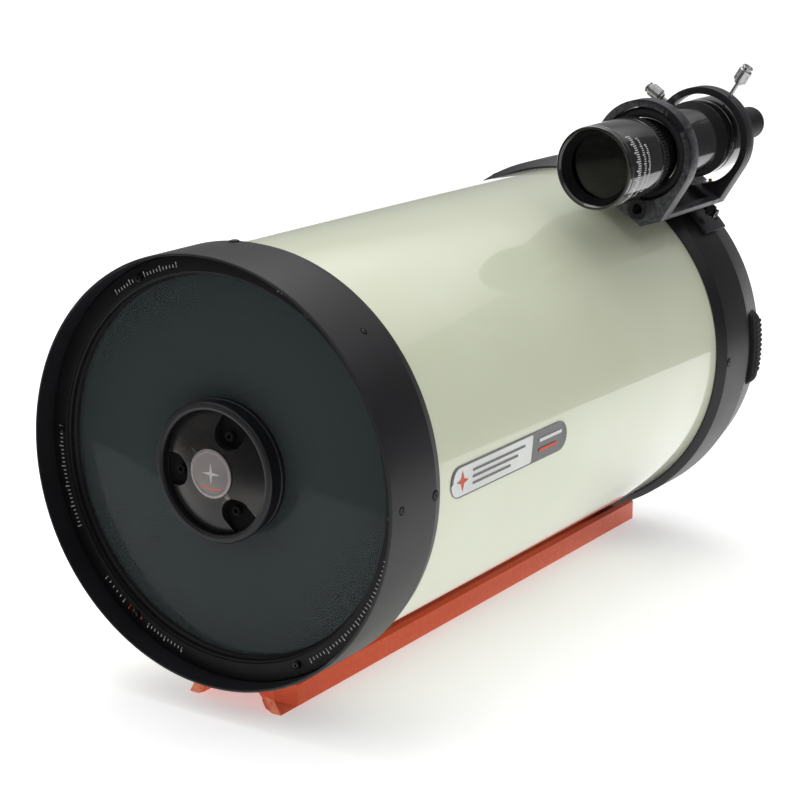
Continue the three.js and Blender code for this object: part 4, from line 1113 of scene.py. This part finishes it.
top_screw = thumbscrew("adjusting_screw_top", 1.5, 20.0, 5.15, 14.0, ridges=26)
place(top_screw, BRACKET @ Matrix.Translation((0, 474.5, 30.35)) @ TO_Z, "adjust_top", [chrome],
      ["adjust_screw_top"])
side_screw = thumbscrew("adjusting_screw_side", 1.5, 16.0, 5.15, 14.0, ridges=26)
place(side_screw, BRACKET @ Matrix.Translation((-28.4, 474.5, 5)) @ Matrix.Rotation(math.radians(90), 4, "Z"),
      "adjust_side", [chrome], ["adjust_screw_side"])
shoe_screw = thumbscrew("shoe_clamp_thumbscrew", 2.2, 16.0, 4.75, 9.0, ridges=24, finish_used=blackened)
place(shoe_screw, BRACKET @ Matrix.Translation((15.05, 478, -42.2)) @ TO_X, "shoe_clamp", [blackened],
      ["shoe_clamp_screw"])
PLUNGER = BRACKET @ Matrix.Translation((0, 474.5, 0)) @ Matrix.Rotation(math.radians(135), 4, "Y") @ TO_Z
plunger_body = mesh_object("plunger_housing", lathe(rounded([
    (1.7, 33.8, 0.2), (3.0, 33.8, 0.3), (3.0, 38.8, 0.1), (3.0, 45.3, 0.5), (0, 45.3, 0), (0, 43.3, 0),
    (1.7, 43.3, 0.1)]), 48))
place(plunger_body, PLUNGER, "bracket", [chrome], ["plunger_body"])
plunger_pin = mesh_object("plunger_pin_turned", lathe(rounded([
    (0, 30.6, 0), (1.3, 30.6, 0.6), (1.3, 39.6, 0.3), (0, 39.6, 0)]), 32))
place(plunger_pin, PLUNGER, "plunger", [brass], ["plunger_pin"])

# ---------------------------------------------------------------- finder scope
cord = [(29.1 + 3.7 * math.cos(k * math.pi / 12), 3.7 * math.sin(k * math.pi / 12)) for k in range(24)]
place(mesh_object("finder_o_ring_cord", lathe(cord, 128)), SCOPE, "o_ring", [rubber_black],
      ["finder_o_ring"])

objective_cell = mesh_object("objective_cell_turned", lathe(rounded([
    (25.6, -75.0, 0.3), (26.9, -76.5, 0.5), (28.2, -76.5, 0.5), (28.8, -75.6, 0.4), (28.8, -73.0, 0.3),
    (28.4, -72.5, 0.2), (28.4, -71.5, 0.2), (28.8, -71.0, 0.3), (28.8, -29.6, 0.4), (28.4, -29.0, 0.2),
    (28.0, -27.5, 0.4), (25.3, -27.5, 0.1), (25.3, -66.2, 0), (22.2, -66.2, 0.2), (22.2, -67.4, 0.4),
    (23.2, -67.9, 0.3), (23.6, -69.4, 0.2), (24.0, -69.6, 0.2), (24.2, -71.4, 0.2), (25.2, -71.8, 0.2),
]), 160))
paint(objective_cell, lambda c: math.hypot(c.x, c.z) < 26.2 and c.y > -75.6)
place(objective_cell, SCOPE, "objective", [gloss_black, flat_black_and_painted_shade],
      ["finder_objective_cell"])
objective = mesh_object("objective_lens", lathe(
    [(0, -67.6)] + [(r, -67.6 + 1.5 * (r / 25) ** 2) for r in (4, 8, 12, 16, 20, 23)] + [
        (24.9, -66.0), (25, -65.8), (25, -63.5), (0, -63.5)], 128))
place(objective, SCOPE, "objective", [lens_coated], ["finder_objective"])
lock = mesh_object("lock_ring_knurled", lathe(rounded([
    (25.3, -27.1, 0.1), (27.6, -27.1, 0.4), (28.0, -26.3, 0.3), (28.0, -18.3, 0.3), (27.6, -17.5, 0.4),
    (25.3, -17.5, 0.1)]), 128))
ridged(lock, count=72, radius=27.9, depth=1.1, width=0.8, length=6.6, position=-22.3, step=5.0,
       finish=gloss_black)
place(lock, SCOPE, "lock_ring", [gloss_black], ["finder_lock_ring"])
scope_tube = mesh_object("finder_tube_painted", lathe(rounded([
    (23.2, -61.5, 0.1), (25, -61.5, 0.3), (25, 62, 2), (28, 74, 2), (28, 82, 0.2), (27.5, 82.6, 0.2),
    (27.5, 84.6, 0.2), (28, 85.2, 0.2), (28, 108, 1.2), (19.4, 113, 1.0), (17.2, 124, 0.5), (13.9, 124, 0),
    (13.9, 108, 0), (26, 105, 0), (26, 75, 0), (23.2, 62, 0)]), 128))
paint(scope_tube, lambda c: (math.hypot(c.x, c.z) < 24 and c.y < 100) or
      (math.hypot(c.x, c.z) < 26.5 and 62 < c.y < 105))
place(scope_tube, SCOPE, "scope", [gloss_black, flat_black_and_painted_shade], ["finder_tube"])
eyepiece = mesh_object("finder_eyepiece_moulded", lathe(rounded([
    (12.0, 110, 0.1), (13.6, 110, 0.2), (13.6, 124.5, 0.3), (13.0, 125.2, 0.3), (12.6, 132, 0.3),
    (13.1, 133, 0.3), (12.7, 148, 0.4), (12.2, 149, 0.3), (12.2, 171.4, 0.6), (11.0, 173.5, 0.8),
    (8.5, 173.5, 0.6), (7.5, 168, 0.3), (7.5, 160, 0.1), (12.0, 150, 0)]), 96))
ridged(eyepiece, count=36, radius=12.75, depth=0.7, width=0.9, length=12.5, position=141.0, step=10.0,
       finish=moulded_black)
place(eyepiece, SCOPE, "scope", [moulded_black], ["finder_eyepiece"])
eye_lens = mesh_object("eye_lens", lathe([(0, 161.6), (4, 161.3), (7.1, 161.0), (7.2, 161.2), (7.2, 165.8),
                                          (7.1, 166), (4, 165.7), (0, 165.4)], 64))
place(eye_lens, SCOPE, "scope", [lens_coated], ["finder_eye_lens"])


def barrel_marks(name, first, last, count, y, tall, long_every=4):
    """Fine graduations printed along the barrel of the objective cell."""
    step = (last - first) / (count - 1)
    marks = mesh_object(name, bmesh.new())
    ridged(marks, count=count, radius=28.79, depth=0.06, width=0.65, length=tall, position=y,
           first_angle=first, step=step, finish=white_ink)
    longer = mesh_object(name + "_long", bmesh.new())
    ridged(longer, count=(count - 1) // long_every + 1, radius=28.79, depth=0.06, width=0.9,
           length=tall * 1.5, position=y - tall * 0.25, first_angle=first, step=step * long_every,
           finish=white_ink)
    bm = bmesh.new()
    bm.from_mesh(marks.data)
    bm.from_mesh(longer.data)
    bpy.data.objects.remove(longer)
    bm.to_mesh(marks.data)
    bm.free()
    return marks


for number, (first, last, count, y, tall) in enumerate((
        (-45, 80, 41, -63.0, 4.0), (-12, 74, 29, -54.5, 2.2), (-6, 62, 25, -48.5, 2.0))):
    marks = barrel_marks("barrel_scale_%d" % (number + 1), first, last, count, y, tall)
    place(marks, SCOPE, "objective", [white_ink], smooth=None)

# ---------------------------------------------------------------- finishes of the CAD pieces still shown
for node, material in {
        "corrector_gasket": rubber_black, "secondary_pivot": machined, "secondary_mirror_plate": machined,
        "secondary_mirror": silvered, "mirror_carrier": machined, "field_lens": lens_coated,
        "focus_screw": steel}.items():
    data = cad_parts[node].data
    data.materials.clear()
    data.materials.append(material)

# ---------------------------------------------------------------- floor, lights and camera
floor_paint = finish("floor_white", (0.84, 0.84, 0.84), (0.86, 0.86, 0.86), (0.6, 0.7), grain=40.0,
                     bump=0.01, specular=0.1)
glow = floor_paint.node_tree.nodes["Principled BSDF"]
glow.inputs["Emission Color"].default_value = (1, 1, 1, 1)
glow.inputs["Emission Strength"].default_value = 0.4
bm = bmesh.new()
bmesh.ops.create_grid(bm, x_segments=40, y_segments=40, size=14)
floor = mesh_object("floor", bm, smooth=None)
floor.location = (0, 0, -0.0005)
floor.data.materials.append(floor_paint)

world = bpy.data.worlds.new("studio")
bpy.context.scene.world = world
world.use_nodes = True
tree = world.node_tree
sky = tree.nodes["Background"]
heading = tree.nodes.new("ShaderNodeTexCoord")
parts_of = tree.nodes.new("ShaderNodeSeparateXYZ")
link(tree, heading.outputs["Generated"], parts_of.inputs[0])
link(tree, map_range(tree, parts_of.outputs["Z"], 0.46, 0.6, 0.3, 1.0), sky.inputs["Strength"])
sky.inputs["Color"].default_value = (1, 1, 1, 1)


def dark_flag(name, corners, grey):
    """A studio flag: seen only in reflections, so it shades the gloss and not the floor."""
    bm = bmesh.new()
    bm.faces.new([bm.verts.new(c) for c in corners])
    obj = mesh_object(name, bm, smooth=None)
    felt = finish(name + "_felt", (grey, grey, grey), (grey * 1.1, grey * 1.1, grey * 1.1), (0.9, 1.0),
                  grain=200.0, specular=0.0)
    obj.data.materials.append(felt)
    obj.visible_camera = False
    obj.visible_diffuse = False
    obj.visible_shadow = False
    return obj


def upright(x0, y0, x1, y1, height):
    return [(x0, y0, 0.001), (x1, y1, 0.001), (x1, y1, height), (x0, y0, height)]


dark_flag("side_flag", upright(0.37, 1.07, 1.5, -0.17, 0.9), 0.12)
dark_flag("front_flag", upright(-1.1, -0.62, 0.35, -0.62, 0.7), 0.06)


def softbox(name, spot, aim, width, height, power):
    light = bpy.data.lights.new(name, "AREA")
    light.shape = "RECTANGLE"
    light.size = width
    light.size_y = height
    light.energy = power
    obj = bpy.data.objects.new(name, light)
    obj.location = spot
    obj.rotation_euler = (Vector(aim) - Vector(spot)).to_track_quat("-Z", "Y").to_euler()
    COLLECTION.objects.link(obj)
    return obj


softbox("overhead_box", (-0.6, 0.5, 2.4), (0, 0.1, 0.15), 2.4, 1.6, 30)
softbox("left_box", (-1.8, -1.6, 1.2), (0, -0.1, 0.15), 1.2, 1.2, 8)

azimuth, elevation = math.radians(33.519), math.radians(14.98)
back = Vector((math.sin(azimuth) * math.cos(elevation), -math.cos(azimuth) * math.cos(elevation),
               math.sin(elevation)))
right = Vector((math.cos(azimuth), math.sin(azimuth), 0))
up = back.cross(right)
camera = bpy.data.objects.new("camera", bpy.data.cameras.new("camera"))
camera.data.lens = 94.62
camera.data.sensor_width = 36
camera.data.clip_end = 60
camera.matrix_world = Matrix.Translation((0.77359, -1.21553, 0.53202)) @ Matrix((
    (right.x, up.x, back.x, 0), (right.y, up.y, back.y, 0), (right.z, up.z, back.z, 0), (0, 0, 0, 1)))
COLLECTION.objects.link(camera)
bpy.context.scene.camera = camera
bpy.context.scene.view_settings.view_transform = "Standard"
